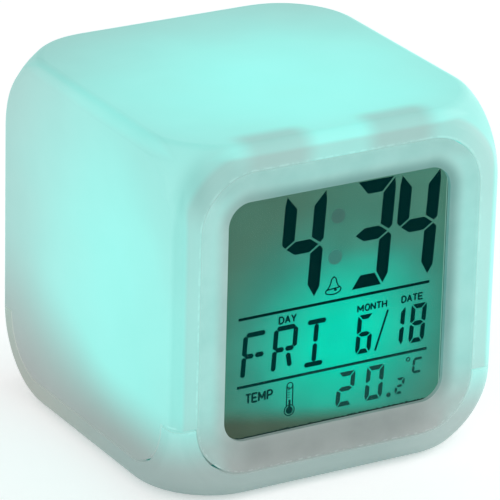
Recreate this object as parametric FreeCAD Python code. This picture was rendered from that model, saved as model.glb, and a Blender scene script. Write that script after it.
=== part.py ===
import FreeCAD, Part
import math
import os
from FreeCAD import Vector as V

# Talking cube clock, sizes in millimetres.
# The frame: +Z up, -Y is the display side, the origin is the middle of the plane that the feet stand on.
# Every piece is drawn with z counted from the underside of the tray, and export lifts it by foot_stand.

# Cube body
body_width = 80.0
body_depth = 80.0
body_height = 80.0
edge_radius = 3.0
face_corner_radius = 15.5
wall = 2.0
least_edge = 0.3
foot_stand = 0.8
overrun = 5.0
tiny = 0.001

# Inset panels of the four sides, and the seam between cover and tray
panel_inset = 5.8
panel_corner_radius = 12.6
seam_slack = 0.15
bezel_gap = 0.15
press_travel = 0.3
lip_gap = 0.4
lip_wall = 0.8
lip_rise = 2.0
lip_root = 4.0

# Bezel and its window
window_border = 12.7
window_corner_radius = 5.2
bezel_dip = 1.0
bezel_rim = 0.6
skirt_setback = 1.8
skirt_wall = 1.4
skirt_depth = 2.3
skirt_end = 16.0
hook_width = 14.0
hook_place_share = 0.625
hook_thickness = 1.8
hook_reach = 3.2
hook_gap = 0.15

# Display glass, from the front to the back
glass_gap = 0.3
glass_thickness = 0.7
glass_lap = 1.9
glass_lap_low = 0.9
glass_lap_high = 1.3
ledge_height = 2.8
ink_thickness = 0.1
diffuser_thickness = 3.2
diffuser_inset = 0.8

# Holder behind the glass
holder_frame = 2.2
holder_foot = 0.9
holder_head = 2.4
holder_depth = 6.2
holder_corner_radius = 2.0
pocket_gap = 0.1
strip_end = 4.2
strip_thickness = 2.0
foot_post_inset = 5.0
foot_post_half = 4.0
foot_post_depth = 6.0
foot_post_setback = 8.2

# Main board and what is on it
board_thickness = 1.6
board_setback = 1.4
board_setback_low = 1.5
board_setback_high = 0.6
blob_radius = 6.5
blob_height = 1.8
chip_length = 10.3
chip_width = 7.5
chip_height = 2.3
pin_count = 8
pin_pitch = 1.27
pin_width = 0.4
pin_reach = 1.3
crystal_radius = 1.5
crystal_length = 8.0
crystal_x = -13.0
crystal_rise = 12.0
capacitor_radius = 2.5
capacitor_length = 7.0
capacitor_x = -18.0
capacitor_drop = 12.0
sensor_radius = 1.2
sensor_leg_radius = 0.25
sensor_leg_length = 6.0
sensor_inset = 6.0
sensor_rise = 22.0
sensor_leg_spacing = 1.6

# Battery bay for four AAA cells side by side, and its door
cell_radius = 5.25
cell_length = 44.5
cell_count = 4
cell_gap = 0.4
nub_radius = 1.9
nub_length = 1.0
cell_edge = 0.5
contact_room = 2.75
contact_thickness = 0.4
contact_half_width = 3.6
contact_height = 8.6
contact_wire = 0.45
contact_turns = 2
contact_coil_wide = 3.3
contact_coil_narrow = 2.0
cap_height = 2.3
cap_wide = 3.0
cap_narrow = 1.8
tab_width = 2.0
tab_rise = 2.4
bay_wall = 1.2
bay_roof = 1.5
door_thickness = 1.6
door_lap = 1.4
door_gap = 0.3
door_seat_gap = 0.1
door_corner_radius = 2.5
door_frame = 2.0
pad_height = 3.6
hinge_tab_x = 12.0
hinge_tab_half = 4.0
hinge_tab_reach = 1.2
hinge_tab_radius = 1.45
hinge_tab_low = 0.5
hinge_tab_high = 1.1
hinge_slot_reach = 1.7
hinge_slot_gap = 0.5
notch_radius = 6.0
notch_depth = 1.0
grip_rib_count = 5
grip_rib_pitch = 2.0
grip_rib_width = 0.8
grip_rib_half = 7.0
grip_rib_depth = 0.4
grip_inset = 9.0

# Posts that carry the cover on its four springs
post_setback = 18.5
post_radius = 3.6
post_top = 19.0
head_seat = 16.0
head_radius = 2.4
head_height = 1.6
head_gap = 0.3
shank_radius = 1.1
shank_gap = 0.4
thread_gap = 0.05
boss_low = 25.0
boss_high = 38.0
boss_radius = 3.4
web_thickness = 1.6
web_bite = 0.4
spring_wire = 0.5
spring_radius = 2.5
spring_turns = 4
socket_depth = 0.6

# Feet
foot_radius = 3.2
foot_setback_x = 11.0
foot_setback_y = 10.0
foot_recess = 0.5
foot_gap = 0.1
foot_edge = 0.3

# Screws through the floor into the posts of the holder and the rear bracket
floor_boss_radius = 4.4
floor_head_depth = 1.7
floor_hole_radius = 1.4
floor_screw_length = 6.0

# Rear bracket
bracket_setback = 8.0
bracket_thickness = 1.6
bracket_side_gap = 15.0
bracket_top_gap = 8.5
bracket_corner_radius = 3.0
shelf_half_width = 8.0
shelf_depth = 9.0
shelf_thickness = 1.5

# Loudspeaker
speaker_margin = 2.75
speaker_seat = 2.3
speaker_flange = 0.8
basket_wall = 0.8
basket_depth = 5.5
basket_slope = 7.0
magnet_margin = 3.5
magnet_depth = 4.0
cone_rim_inset = 3.5
cone_neck_radius = 5.0
cone_depth = 3.0
cone_wall = 0.4
grille_rings = 3
grille_pitch = 3.6
grille_hole_radius = 0.9

# Rear control strip
strip_drop = 16.0
strip_side_gap = 13.5
strip_half_height = 6.5
strip_depth = 1.0
strip_corner_radius = 3.0
button_inset = 8.5
button_count = 4
button_share = 0.323
button_flange_share = 0.417
button_top_gap = 0.1
button_hole_gap = 0.5
button_flange = 0.6
button_edge = 0.4
button_travel = 0.5
stem_radius = 1.6
stem_gap = 0.3
well_gap = 0.5
stem_bite = 0.4
tact_half = 3.0
tact_height = 1.5
well_slack = 0.1
control_board_thickness = 1.2
control_board_half_height = 7.0
control_board_inset = 1.5
slider_inset = 6.1
slider_travel = 2.5
slider_half_width = 1.1
slider_half_height = 1.1
slider_housing_half_width = 4.3
slider_housing_half_height = 2.4
slider_housing_height = 2.4
slider_rib_depth = 0.25
slider_rib_count = 3

# Light board on the roof of the battery bay
light_board_half_width = 13.0
light_board_half_depth = 6.0
light_spacing = 8.0
lamp_radius = 2.5
lamp_flange_radius = 2.9
lamp_flange = 1.0
lamp_length = 6.1

# Key under the top of the cover
key_half = 3.0
key_height = 3.4
key_setback = 12.0
key_post_radius = 1.6
key_post_flare = 3.2
key_post_bite = 0.5

# Board screws
board_screw_radius = 1.0
board_screw_head_radius = 2.0
board_screw_head = 1.3
board_screw_length = 2.9
board_screw_inset = 3.4
board_screw_edge = 2.4

# Shares of the sizes of the piece that carries the detail
chip_place_share = 0.533
cross_length_share = 0.7
cross_width_share = 0.35
blob_round_share = 0.8
dome_share = 1.3
lead_landing_share = 0.7

# Leads
lead_radius = 0.55
lead_gap = 0.02
lead_bend_share = 0.45
lead_clear = 1.6
lead_bend_run = 4.4
lead_slope_run = 6.6
battery_lead_drop = 13.0
battery_lead_stand = 2.4

# What the display shows: big digits, small digits and the two rules, drawn for a window of this size.
# Their heights count from the middle of the window.
drawn_half = 27.3
slant = 0.063
big_height = 24.4
big_width = 10.15
big_stroke = 2.95
big_low = 1.7
big_gap = 0.35
big_lefts = (-13.9, 3.15, 14.5)
big_digits = "434"
row_height = 9.0
row_width = 3.9
row_stroke = 1.05
row_low = -13.7
row_gap = 0.22
row_lefts = (5.9, 14.0, 19.4)
row_digits = "618"
heat_height = 8.0
heat_width = 4.4
heat_low = -25.2
heat_lefts = (1.4, 8.7)
heat_digits = "20"
tenth_height = 3.8
tenth_width = 2.3
tenth_stroke = 0.6
tenth_left = 16.4
rule_half_length = 23.7
rule_thickness = 0.62
rule_x = 0.5
rule_heights = (0.0, -15.7)
dot_radius = 1.7
dot_places = ((0.64, 19.4), (0.2, 10.1))
point_radius = 0.55
point_place = (14.9, -24.9)
top_nick_share = 0.12
middle_nick_share = 0.27
low_nick_share = 0.38
corner_share = 0.7

# Worked out from the sizes above
half_x = body_width / 2
half_y = body_depth / 2
mid_z = body_height / 2
seam_z = panel_inset + panel_corner_radius
seam_gap = press_travel + seam_slack
well_depth = stem_bite + button_travel + well_slack
front_inner = -half_y + wall
back_inner = half_y - wall
window_half_x = half_x - window_border
window_half_z = mid_z - window_border
skirt_inner_x = half_x - panel_inset - skirt_setback
skirt_inner_z = mid_z - panel_inset - skirt_setback
hook_top = mid_z + skirt_inner_z
glass_half_width = window_half_x + glass_lap
glass_low = mid_z - window_half_z - glass_lap_low
glass_high = mid_z + window_half_z + glass_lap_high
diffuser_half_width = glass_half_width - diffuser_inset
holder_half_width = glass_half_width + holder_frame
holder_low = glass_low - ledge_height - holder_foot
holder_high = glass_high + holder_head
strip_half_length = glass_half_width - strip_end
board_half_width = holder_half_width - board_setback
chip_x = chip_place_share * board_half_width
board_low = holder_low + board_setback_low
board_high = holder_high - board_setback_high
foot_post_y = half_y - foot_post_setback
sensor_x = board_half_width - sensor_inset
glass_front = front_inner + glass_gap
ink_front = glass_front + glass_thickness
rear_glass_front = ink_front + ink_thickness
rear_glass_back = rear_glass_front + glass_thickness
holder_back = glass_front + holder_depth
diffuser_back = rear_glass_back + diffuser_thickness
board_back = holder_back + board_thickness
bay_half_x = (cell_count * 2 * cell_radius + (cell_count + 1) * cell_gap) / 2
bay_half_y = cell_length / 2 + contact_room
bay_ceiling = door_thickness + 2 * cell_gap + 2 * cell_radius
bay_top = bay_ceiling + bay_roof
cell_z = door_thickness + cell_gap + cell_radius
recess_half_x = bay_half_x + door_lap
recess_half_y = bay_half_y + door_lap
door_half_x = recess_half_x - door_gap
door_half_y = recess_half_y - door_gap
contact_face = bay_half_y - contact_thickness
post_x = (bay_half_x + bay_wall + half_x - wall) / 2
post_y = half_y - post_setback
foot_x = half_x - foot_setback_x
foot_y = half_y - foot_setback_y
bracket_front = half_y - bracket_setback
bracket_half_width = half_x - bracket_side_gap
foot_post_x = bracket_half_width - foot_post_inset
bracket_high = body_height - bracket_top_gap
strip_z = mid_z - strip_drop
strip_half_width = half_x - strip_side_gap
strip_top = strip_z + control_board_half_height
speaker_z = (strip_top + bracket_high) / 2
speaker_radius = (bracket_high - strip_top) / 2 - speaker_margin
speaker_hole_radius = speaker_radius - speaker_seat
basket_back_radius = speaker_radius - basket_slope
magnet_radius = basket_back_radius - magnet_margin
cone_rim_radius = speaker_radius - cone_rim_inset
button_first_x = button_inset - strip_half_width
slider_x = strip_half_width - slider_inset
button_pitch = (slider_x - button_first_x) / button_count
button_radius = button_share * button_pitch
button_flange_radius = button_flange_share * button_pitch
control_board_half_width = strip_half_width - control_board_inset
key_y = half_y - key_setback
bracket_back = bracket_front + bracket_thickness
control_board_back = bracket_back + control_board_thickness
tact_back = control_board_back + tact_height
strip_floor = half_y - strip_depth
key_top = bracket_high + key_height
cover_ceiling = body_height - wall

AXIS_X = V(1, 0, 0)
AXIS_Y = V(0, 1, 0)
AXIS_Z = V(0, 0, 1)
ORIGIN = V(0, 0, 0)
SIDES = (-1, 1)


def both(half):
    """The span from minus half to plus half."""
    return (-half, half)


def around(centre, half):
    """The span of a half size on each side of a centre."""
    return (centre - half, centre + half)


def box(x, y, z):
    """A box over three spans."""
    return Part.makeBox(x[1] - x[0], y[1] - y[0], z[1] - z[0], V(x[0], y[0], z[0]))


def rounded_box(x, y, z, radius, axis):
    """A box whose four edges along one axis are rounded."""
    block = box(x, y, z)
    along = [edge for edge in block.Edges if edge.tangentAt(0).cross(axis).Length < tiny]
    return block.makeFillet(radius, along)


def rod(radius, start, end):
    """A round bar between two points."""
    line = end - start
    return Part.makeCylinder(radius, line.Length, start, line)


def taper(start_radius, end_radius, start, end):
    """A round bar whose radius changes from one end to the other."""
    line = end - start
    return Part.makeCone(start_radius, end_radius, line.Length, start, line)


def soften(solid, radius, low, high):
    """Round the edges that lie wholly between two heights."""
    chosen = [edge for edge in solid.Edges
              if edge.BoundBox.ZMin > low - tiny and edge.BoundBox.ZMax < high + tiny]
    return solid.makeFillet(radius, chosen)


def join(pieces):
    """Fuse a list of touching solids into one and merge the faces that continue each other."""
    whole = pieces[0]
    if len(pieces) > 1:
        whole = whole.fuse(pieces[1:])
    return whole.removeSplitter()


def four_corners(x, y):
    """The four places that mirror one another about the middle."""
    return [V(side * x, end * y, 0) for side in SIDES for end in SIDES]


def strips_of_face(half_u, half_v, half_w, edge, corner):
    """One quarter of a flat rounded face, with the half of the edge rounding that belongs to it."""
    flat_u = half_u - edge
    flat_v = half_v - edge
    centre = V(flat_u - corner, flat_v - corner, half_w)
    bend = corner * math.cos(math.pi / 4)
    points = [V(0, 0, half_w), V(flat_u, 0, half_w), V(flat_u, centre.y, half_w),
              V(centre.x, flat_v, half_w), V(0, flat_v, half_w)]
    turn = Part.Arc(points[2], centre + V(bend, bend, 0), points[3]).toShape()
    lines = [Part.makeLine(points[n], points[(n + 1) % 5]) for n in (0, 1, 3, 4)]
    faces = [Part.Face(Part.Wire(lines[:2] + [turn] + lines[2:]))]
    seat = V(flat_u, 0, half_w - edge)
    angles = [math.pi / 2, math.pi * 3 / 8, math.pi / 4]
    arc_points = [seat + V(edge * math.cos(angle), 0, edge * math.sin(angle)) for angle in angles]
    profile = Part.Arc(*arc_points).toShape()
    faces.append(profile.extrude(V(0, centre.y, 0)))
    profile.translate(V(0, centre.y, 0))
    faces.append(profile.revolve(centre, AXIS_Z, 90))
    profile.rotate(centre, AXIS_Z, 90)
    faces.append(profile.extrude(V(-centre.x, 0, 0)))
    return faces


def corner_patch(half, edge, corner):
    """The ball patch where three rounded edges of the cube run together."""
    reach = corner + edge * math.cos(math.pi / 4)
    inset = edge + corner
    centre = V(half[0] - inset, half[1] - inset, half[2] - inset)
    core = Part.makeSphere(reach * math.sqrt(2), centre).common(Part.makeBox(reach, reach, reach, centre))
    return [face for face in core.Faces if face.Surface.TypeId == "Part::GeomSphere"][0]


def soft_cube(inset):
    """The cube with small rounded edges and large rounded corners, drawn in from its surface by inset."""
    half = [half_x - inset, half_y - inset, mid_z - inset]
    edge = max(edge_radius - inset, least_edge)
    faces = [corner_patch(half, edge, face_corner_radius)]
    for turn in range(3):
        sizes = half[turn:] + half[:turn]
        for face in strips_of_face(*sizes, edge, face_corner_radius):
            face.rotate(ORIGIN, V(1, 1, 1), 120 * turn)
            faces.append(face)
    for normal in (AXIS_X, AXIS_Y, AXIS_Z):
        faces += [face.mirror(ORIGIN, normal) for face in faces]
    solid = Part.makeSolid(Part.makeShell(faces)).removeSplitter()
    solid.translate(V(0, 0, mid_z))
    return solid


def panel_across(grow):
    """The outline of the side panels as a prism through the body from left to right."""
    y = both(half_y - panel_inset + grow)
    z = (panel_inset - grow, body_height - panel_inset + grow)
    return rounded_box(both(half_x + overrun), y, z, panel_corner_radius + grow, AXIS_X)


def panel_along(grow, y):
    """The same outline as a prism along Y over the span y, for the bezel and the back panel."""
    x = both(half_x - panel_inset + grow)
    z = (panel_inset - grow, body_height - panel_inset + grow)
    return rounded_box(x, y, z, panel_corner_radius + grow, AXIS_Y)


def tray_zone(grow, top):
    """The part of the body that belongs to the tray: all below the seam but the side panels."""
    zone = box(both(half_x + overrun), both(half_y + overrun), (-overrun, top))
    return zone.cut(panel_across(grow)).cut(panel_along(grow, both(half_y + overrun)))


def grille_holes():
    """Rings of round sound holes through the back panel."""
    holes = []
    for ring in range(grille_rings + 1):
        count = max(6 * ring, 1)
        for n in range(count):
            angle = 2 * math.pi * n / count
            x = ring * grille_pitch * math.cos(angle)
            z = speaker_z + ring * grille_pitch * math.sin(angle)
            holes.append(rod(grille_hole_radius, V(x, back_inner - overrun, z), V(x, half_y + overrun, z)))
    return holes


def button_places():
    return [button_first_x + n * button_pitch for n in range(button_count)]


def control_cuts():
    """The shallow strip on the back, the button holes and the slot of the light switch."""
    strip = rounded_box(both(strip_half_width), (strip_floor, half_y + overrun),
                        around(strip_z, strip_half_height), strip_corner_radius, AXIS_Y)
    cuts = [strip]
    for x in button_places():
        cuts.append(rod(button_radius + button_hole_gap, V(x, back_inner - overrun, strip_z),
                        V(x, half_y + overrun, strip_z)))
    slot_x = (slider_x - slider_half_width - button_hole_gap,
              slider_x + slider_travel + slider_half_width + button_hole_gap)
    cuts.append(box(slot_x, (back_inner - overrun, half_y + overrun),
                    around(strip_z, slider_half_height + button_hole_gap)))
    return cuts


def cover_bosses():
    """The four bosses inside the cover that take the screws from below."""
    pieces = []
    for place in four_corners(post_x, post_y):
        low = place + V(0, 0, boss_low)
        boss = rod(boss_radius, low, place + V(0, 0, boss_high))
        wall_x = math.copysign(half_x - wall + web_bite, place.x)
        web = box(sorted((place.x, wall_x)), around(place.y, web_thickness / 2), (boss_low, boss_high))
        boss = boss.fuse(web)
        bore = rod(shank_radius + thread_gap, low - V(0, 0, overrun), place + V(0, 0, boss_high - wall))
        socket = rod(spring_radius + spring_wire, low - V(0, 0, overrun), low + V(0, 0, socket_depth))
        pieces.append(boss.cut([bore, socket]))
    return pieces


def make_upper_cover():
    shell = soft_cube(0).cut(soft_cube(wall))
    shell = shell.cut(tray_zone(0, seam_z))
    opening = panel_along(bezel_gap, (-half_y - overrun, front_inner + least_edge))
    shell = shell.cut(opening)
    post = taper(key_post_radius, key_post_flare, V(0, key_y, key_top - stem_bite),
                 V(0, key_y, cover_ceiling + key_post_bite))
    shell = join([shell] + cover_bosses() + [post])
    return shell.cut(control_cuts() + grille_holes())


def bezel_hooks():
    """Snap hooks that hold the bezel behind the front rim of the cover, rooted in its skirt."""
    y = (front_inner + hook_gap, front_inner + hook_gap + hook_thickness)
    place = hook_place_share * (half_x - skirt_end)
    reach = skirt_wall + hook_reach
    hooks = [box(around(side * place, hook_width / 2), y, (hook_top, hook_top + reach)) for side in SIDES]
    for side in SIDES:
        across = sorted((side * skirt_inner_x, side * (skirt_inner_x + reach)))
        hooks.append(box(across, y, around(mid_z, hook_width / 2)))
    return hooks


def bezel_skirt():
    """Four straight walls behind the bezel, one along each side, that set it in the cover."""
    y = (front_inner, front_inner + skirt_depth)
    walls = []
    for side in SIDES:
        level = sorted((mid_z + side * skirt_inner_z, mid_z + side * (skirt_inner_z + skirt_wall)))
        walls.append(box(both(half_x - skirt_end), y, level))
        across = sorted((side * skirt_inner_x, side * (skirt_inner_x + skirt_wall)))
        walls.append(box(across, y, around(mid_z, mid_z - skirt_end)))
    return walls


def make_front_bezel():
    plate = panel_along(0, (-half_y, front_inner))
    rims = []
    for y, half_u, half_w, radius in (
            (-half_y, half_x - panel_inset - bezel_rim, mid_z - panel_inset - bezel_rim, panel_corner_radius),
            (-half_y + bezel_dip, window_half_x, window_half_z, window_corner_radius)):
        outline = rounded_box(both(half_u), (y, y + wall), around(mid_z, half_w), radius, AXIS_Y)
        front = min(outline.Faces, key=lambda face: face.CenterOfMass.y)
        rims.append(front.OuterWire)
    plate = plate.cut(Part.makeLoft(rims, True, True))
    bezel = join([plate] + bezel_skirt() + bezel_hooks())
    window = rounded_box(both(window_half_x), (-half_y - overrun, front_inner + overrun),
                         around(mid_z, window_half_z), window_corner_radius, AXIS_Y)
    return bezel.cut(window)


def tray_walls():
    """Floor, low edge strips and corner walls of the tray, with the light lip inside each corner."""
    walls = soft_cube(0).cut(soft_cube(wall)).common(tray_zone(seam_gap, seam_z - seam_gap))
    corner_zone = tray_zone(seam_gap, seam_z + lip_rise)
    above = box(both(half_x + overrun), both(half_y + overrun), (seam_z - lip_root, body_height))
    inside = soft_cube(wall + lip_gap + lip_wall)
    lip = soft_cube(wall + lip_gap).cut(inside).common(corner_zone).common(above)
    root = soft_cube(wall - lip_gap).cut(inside).common(corner_zone)
    below_seam = box(both(half_x + overrun), both(half_y + overrun), (seam_z - lip_root, seam_z - seam_gap))
    return [walls] + lip.Solids + root.common(below_seam).Solids


def floor_screw_places():
    return four_corners(foot_post_x, foot_post_y)


def tray_cuts():
    """Door recess, hinge slots, finger notch, screw wells and foot recesses, all from below."""
    cuts = [box(both(bay_half_x), both(bay_half_y), (-overrun, bay_ceiling)),
            rounded_box(both(recess_half_x), both(recess_half_y), (-overrun, door_thickness + door_seat_gap),
                        door_corner_radius + door_gap, AXIS_Z)]
    for side in SIDES:
        x = around(side * hinge_tab_x, hinge_tab_half + hinge_slot_gap)
        y = (recess_half_y - door_lap, recess_half_y + hinge_slot_reach)
        cuts.append(box(x, y, (hinge_tab_low - hinge_slot_gap / 2, hinge_tab_high + hinge_slot_gap)))
    notch_y = -recess_half_y + notch_radius / 2
    cuts.append(rod(notch_radius, V(0, notch_y, -overrun), V(0, notch_y, notch_depth)))
    for place in four_corners(post_x, post_y):
        cuts.append(rod(head_radius + head_gap, place - V(0, 0, overrun), place + V(0, 0, head_seat)))
        cuts.append(rod(shank_radius + shank_gap, place, place + V(0, 0, post_top + overrun)))
    for place in floor_screw_places():
        cuts.append(rod(head_radius + head_gap, place - V(0, 0, overrun), place + V(0, 0, floor_head_depth)))
        cuts.append(rod(floor_hole_radius, place, place + V(0, 0, pad_height + overrun)))
    for place in four_corners(foot_x, foot_y):
        cuts.append(rod(foot_radius + foot_gap, place - V(0, 0, overrun), place + V(0, 0, foot_recess)))
    return cuts


def make_base_tray():
    frame = door_lap + door_frame
    pieces = tray_walls()
    pieces.append(box(both(bay_half_x + bay_wall), both(bay_half_y + bay_wall), (wall / 2, bay_top)))
    pieces.append(box(both(bay_half_x + frame), both(bay_half_y + frame), (wall / 2, pad_height)))
    for place in four_corners(post_x, post_y):
        pieces.append(rod(post_radius, place + V(0, 0, wall / 2), place + V(0, 0, post_top)))
    for place in floor_screw_places():
        pieces.append(rod(floor_boss_radius, place + V(0, 0, wall / 2), place + V(0, 0, pad_height)))
    return join(pieces).cut(tray_cuts())


def make_battery_door():
    door = rounded_box(both(door_half_x), both(door_half_y), (0, door_thickness), door_corner_radius, AXIS_Z)
    tabs = []
    for side in SIDES:
        x = around(side * hinge_tab_x, hinge_tab_half)
        tab = box(x, (door_half_y - door_lap, door_half_y + door_gap + hinge_tab_reach),
                  (hinge_tab_low, hinge_tab_high))
        turning = rod(hinge_tab_radius, V(x[0], door_half_y, 0), V(x[1], door_half_y, 0))
        root = box(x, (door_half_y - door_lap, door_half_y), (hinge_tab_low, hinge_tab_high))
        tabs.append(tab.common(turning).fuse(root))
    door = join([door] + tabs)
    ribs = []
    for n in range(grip_rib_count):
        y = -door_half_y + grip_inset + n * grip_rib_pitch
        ribs.append(box(both(grip_rib_half), around(y, grip_rib_width / 2), (-overrun, grip_rib_depth)))
    return door.cut(ribs)


def cell_places():
    """The x of each cell, and the end its nub points to; neighbours lie head to tail."""
    pitch = 2 * cell_radius + cell_gap
    first = -(cell_count - 1) / 2 * pitch
    return [(first + n * pitch, 1 if n % 2 else -1) for n in range(cell_count)]


def make_battery(x, end):
    half = cell_length / 2
    body = rod(cell_radius, V(x, -half * end, cell_z), V(x, (half - nub_length) * end, cell_z))
    rims = [edge for edge in body.Edges if edge.Closed and edge.Length > cell_radius]
    body = body.makeFillet(cell_edge, rims)
    nub = rod(nub_radius, V(x, (half - 2 * nub_length) * end, cell_z), V(x, half * end, cell_z))
    return join([body, nub])


def corner_arc(entry, corner, leave):
    """The arc that sets out from entry towards a corner and ends at leave, as far from it."""
    back = (entry - corner).normalize()
    ahead = (leave - corner).normalize()
    reach = corner.distanceToPoint(entry)
    half = back.getAngle(ahead) / 2
    middle = (back + ahead).normalize() * (reach / math.cos(half) - reach * math.tan(half))
    return Part.Arc(entry, corner + middle, leave).toShape()


def biarc(start, start_way, end, end_way):
    """Two arcs that join two points smoothly, leaving and arriving in the given directions."""
    chord = end - start
    ways = start_way + end_way
    a = 2 * start_way.dot(end_way) - 2
    b = -2 * chord.dot(ways)
    c = chord.dot(chord)
    reach = (-b - math.sqrt(b * b - 4 * a * c)) / (2 * a)
    first = start + start_way * reach
    second = end - end_way * reach
    middle = (first + second) / 2
    return [corner_arc(start, first, middle), corner_arc(middle, second, end)]


def helix_point(turn, turns, start_radius, end_radius, length):
    share = turn / turns
    radius = start_radius + (end_radius - start_radius) * share
    angle = 2 * math.pi * turn
    return V(radius * math.cos(angle), radius * math.sin(angle), length * share)


def coil(name, centre, axis_end, turns, radii, wire, length):
    """A coil along axis_end from centre: two arcs to each quarter turn, swept by a round wire."""
    def place(turn):
        return helix_point(turn, turns, radii[0], radii[1], length)

    def way(turn):
        return (place(turn + tiny) - place(turn - tiny)).normalize()

    stops = [n / 4 for n in range(4 * turns + 1)]
    arcs = []
    for here, there in zip(stops, stops[1:]):
        arcs += biarc(place(here), way(here), place(there), way(there))
    profile = Part.Wire([Part.makeCircle(wire / 2, place(0), way(0))])
    tube = Part.Wire(arcs).makePipeShell([profile], True, False)
    tube.Placement = FreeCAD.Placement(centre, FreeCAD.Rotation(AXIS_Z, axis_end))
    apart = min(place(n / 8).distanceToPoint(place(n / 8 + 1)) for n in range(8 * (turns - 1) + 1)) - wire
    print("least gap between turns,", name, round(apart, 2))
    return tube


def contact_plate(x, end):
    """One flat contact plate standing against an end wall of the bay."""
    y = sorted((end * contact_face, end * bay_half_y))
    return box(around(x, contact_half_width), y, around(cell_z, contact_height / 2))


def contact_end(x, nub_end, end):
    """What a plate carries: a cap for the cell's nub, or a coil for its flat end."""
    root = V(x, end * contact_face, cell_z)
    if nub_end == end:
        return taper(cap_wide, cap_narrow, root, root - V(0, end * cap_height, 0))
    length = contact_room - contact_thickness - contact_wire - least_edge
    start = root - V(0, end * contact_wire / 2, 0)
    return coil("battery contact", start, V(0, -end, 0), contact_turns,
                (contact_coil_wide, contact_coil_narrow), contact_wire, length)


def make_link(first, second, end):
    """A contact that joins two neighbouring cells: two plates, a bridge, a coil and a cap."""
    cells = cell_places()
    x = (cells[first][0], cells[second][0])
    bridge = box(x, sorted((end * contact_face, end * bay_half_y)), around(cell_z, tab_width / 2))
    metal = join([contact_plate(x[0], end), bridge, contact_plate(x[1], end)])
    ends = [contact_end(cells[n][0], cells[n][1], end) for n in (first, second)]
    return Part.makeCompound([metal] + ends)


def make_terminal(index):
    """A contact for one end of the row, with a solder tab through the bay roof."""
    x, nub_end = cell_places()[index]
    y = (-bay_half_y, -contact_face)
    tab = box(around(x, tab_width / 2), y, (cell_z, bay_top + tab_rise))
    metal = join([contact_plate(x, -1), tab])
    return Part.makeCompound([metal, contact_end(x, nub_end, -1)])


def terminal_slots():
    """Slots in the bay roof for the two solder tabs."""
    slots = []
    for index in (0, cell_count - 1):
        x = cell_places()[index][0]
        slots.append(box(around(x, tab_width / 2 + pocket_gap),
                         (-bay_half_y - pocket_gap, -contact_face + pocket_gap), (cell_z, bay_top + overrun)))
    return slots


def make_foot(place):
    foot = rod(foot_radius, place - V(0, 0, foot_stand), place + V(0, 0, foot_recess))
    return soften(foot, foot_edge, -foot_stand, -foot_stand)


def make_spring(place):
    """A return spring: one open coil between the tray's post and the cover's boss."""
    low = post_top + spring_wire / 2
    high = boss_low + socket_depth - spring_wire / 2
    return coil("return spring", place + V(0, 0, low), AXIS_Z, spring_turns, (spring_radius, spring_radius),
                spring_wire, high - low)


def screw(head_base, head_end, head_r, head_h, shank_r, length):
    """A pan head screw: the head's free side at head_base, its shank along head_end, and a cross slot."""
    seat = head_base + head_end * head_h
    body = rod(head_r, head_base, seat).fuse(rod(shank_r, head_base, seat + head_end * length))
    slot = head_h / 2
    bars = []
    for angle in (0, 90):
        bar = box(both(head_r * cross_length_share), both(slot * cross_width_share), (-overrun, slot))
        bar.rotate(ORIGIN, AXIS_Z, angle)
        seated = FreeCAD.Placement(head_base, FreeCAD.Rotation(AXIS_Z, head_end))
        bar.Placement = seated.multiply(bar.Placement)
        bars.append(bar)
    return body.cut(bars)


def make_cover_screws():
    screws = []
    for place in four_corners(post_x, post_y):
        length = boss_high - wall - head_seat - least_edge
        screws.append(screw(place + V(0, 0, head_seat - head_height), AXIS_Z, head_radius, head_height,
                            shank_radius, length))
    return Part.makeCompound(screws)


def make_floor_screws():
    return Part.makeCompound([
        screw(place + V(0, 0, floor_head_depth - board_screw_head), AXIS_Z, head_radius, board_screw_head,
              shank_radius, floor_screw_length) for place in floor_screw_places()])


def foot_post(side, y):
    """A post of an upright frame that stands on the tray's floor boss, bored for its screw."""
    block = box(around(side * foot_post_x, foot_post_half), y, (pad_height, board_low - pocket_gap))
    bore = rod(shank_radius + thread_gap, V(side * foot_post_x, math.copysign(foot_post_y, y[0]), 0),
               V(side * foot_post_x, math.copysign(foot_post_y, y[0]), pad_height + floor_screw_length))
    return block, bore


def make_display_holder():
    body = rounded_box(both(holder_half_width), (glass_front, holder_back), (holder_low, holder_high),
                       holder_corner_radius, AXIS_Y)
    glass_seat = box(both(glass_half_width + pocket_gap), (glass_front - overrun, rear_glass_back),
                     (glass_low - ledge_height - pocket_gap, glass_high + pocket_gap))
    light_seat = box(both(diffuser_half_width + pocket_gap), (glass_front - overrun, diffuser_back),
                     (glass_low + diffuser_inset - pocket_gap, glass_high - diffuser_inset + pocket_gap))
    strip_slot = box(both(strip_half_length + pocket_gap), (glass_front - overrun, holder_back + overrun),
                     (glass_low - ledge_height, glass_low - ledge_height + strip_thickness))
    cuts = [glass_seat, light_seat, strip_slot]
    pieces = [body]
    for side in SIDES:
        block, bore = foot_post(side, around(-foot_post_y, foot_post_depth / 2))
        pieces.append(block)
        cuts.append(bore)
    for x, z in board_screw_places():
        cuts.append(rod(board_screw_radius + thread_gap, V(x, holder_back - board_screw_length, z),
                        V(x, holder_back + overrun, z)))
    return join(pieces).cut(cuts)


def board_screw_places():
    heights = (board_low + board_screw_inset, mid_z, board_high - board_screw_inset)
    return [(side * (board_half_width - board_screw_edge), z) for side in SIDES for z in heights]


def make_main_board():
    board = box(both(board_half_width), (holder_back, board_back), (board_low, board_high))
    holes = [rod(board_screw_radius + shank_gap, V(x, holder_back - overrun, z),
                 V(x, board_back + overrun, z))
             for x, z in board_screw_places()]
    return board.cut(holes)


def make_board_screws():
    return Part.makeCompound([
        screw(V(x, board_back + board_screw_head, z), -AXIS_Y, board_screw_head_radius,
              board_screw_head, board_screw_radius, board_screw_length)
        for x, z in board_screw_places()])


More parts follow.
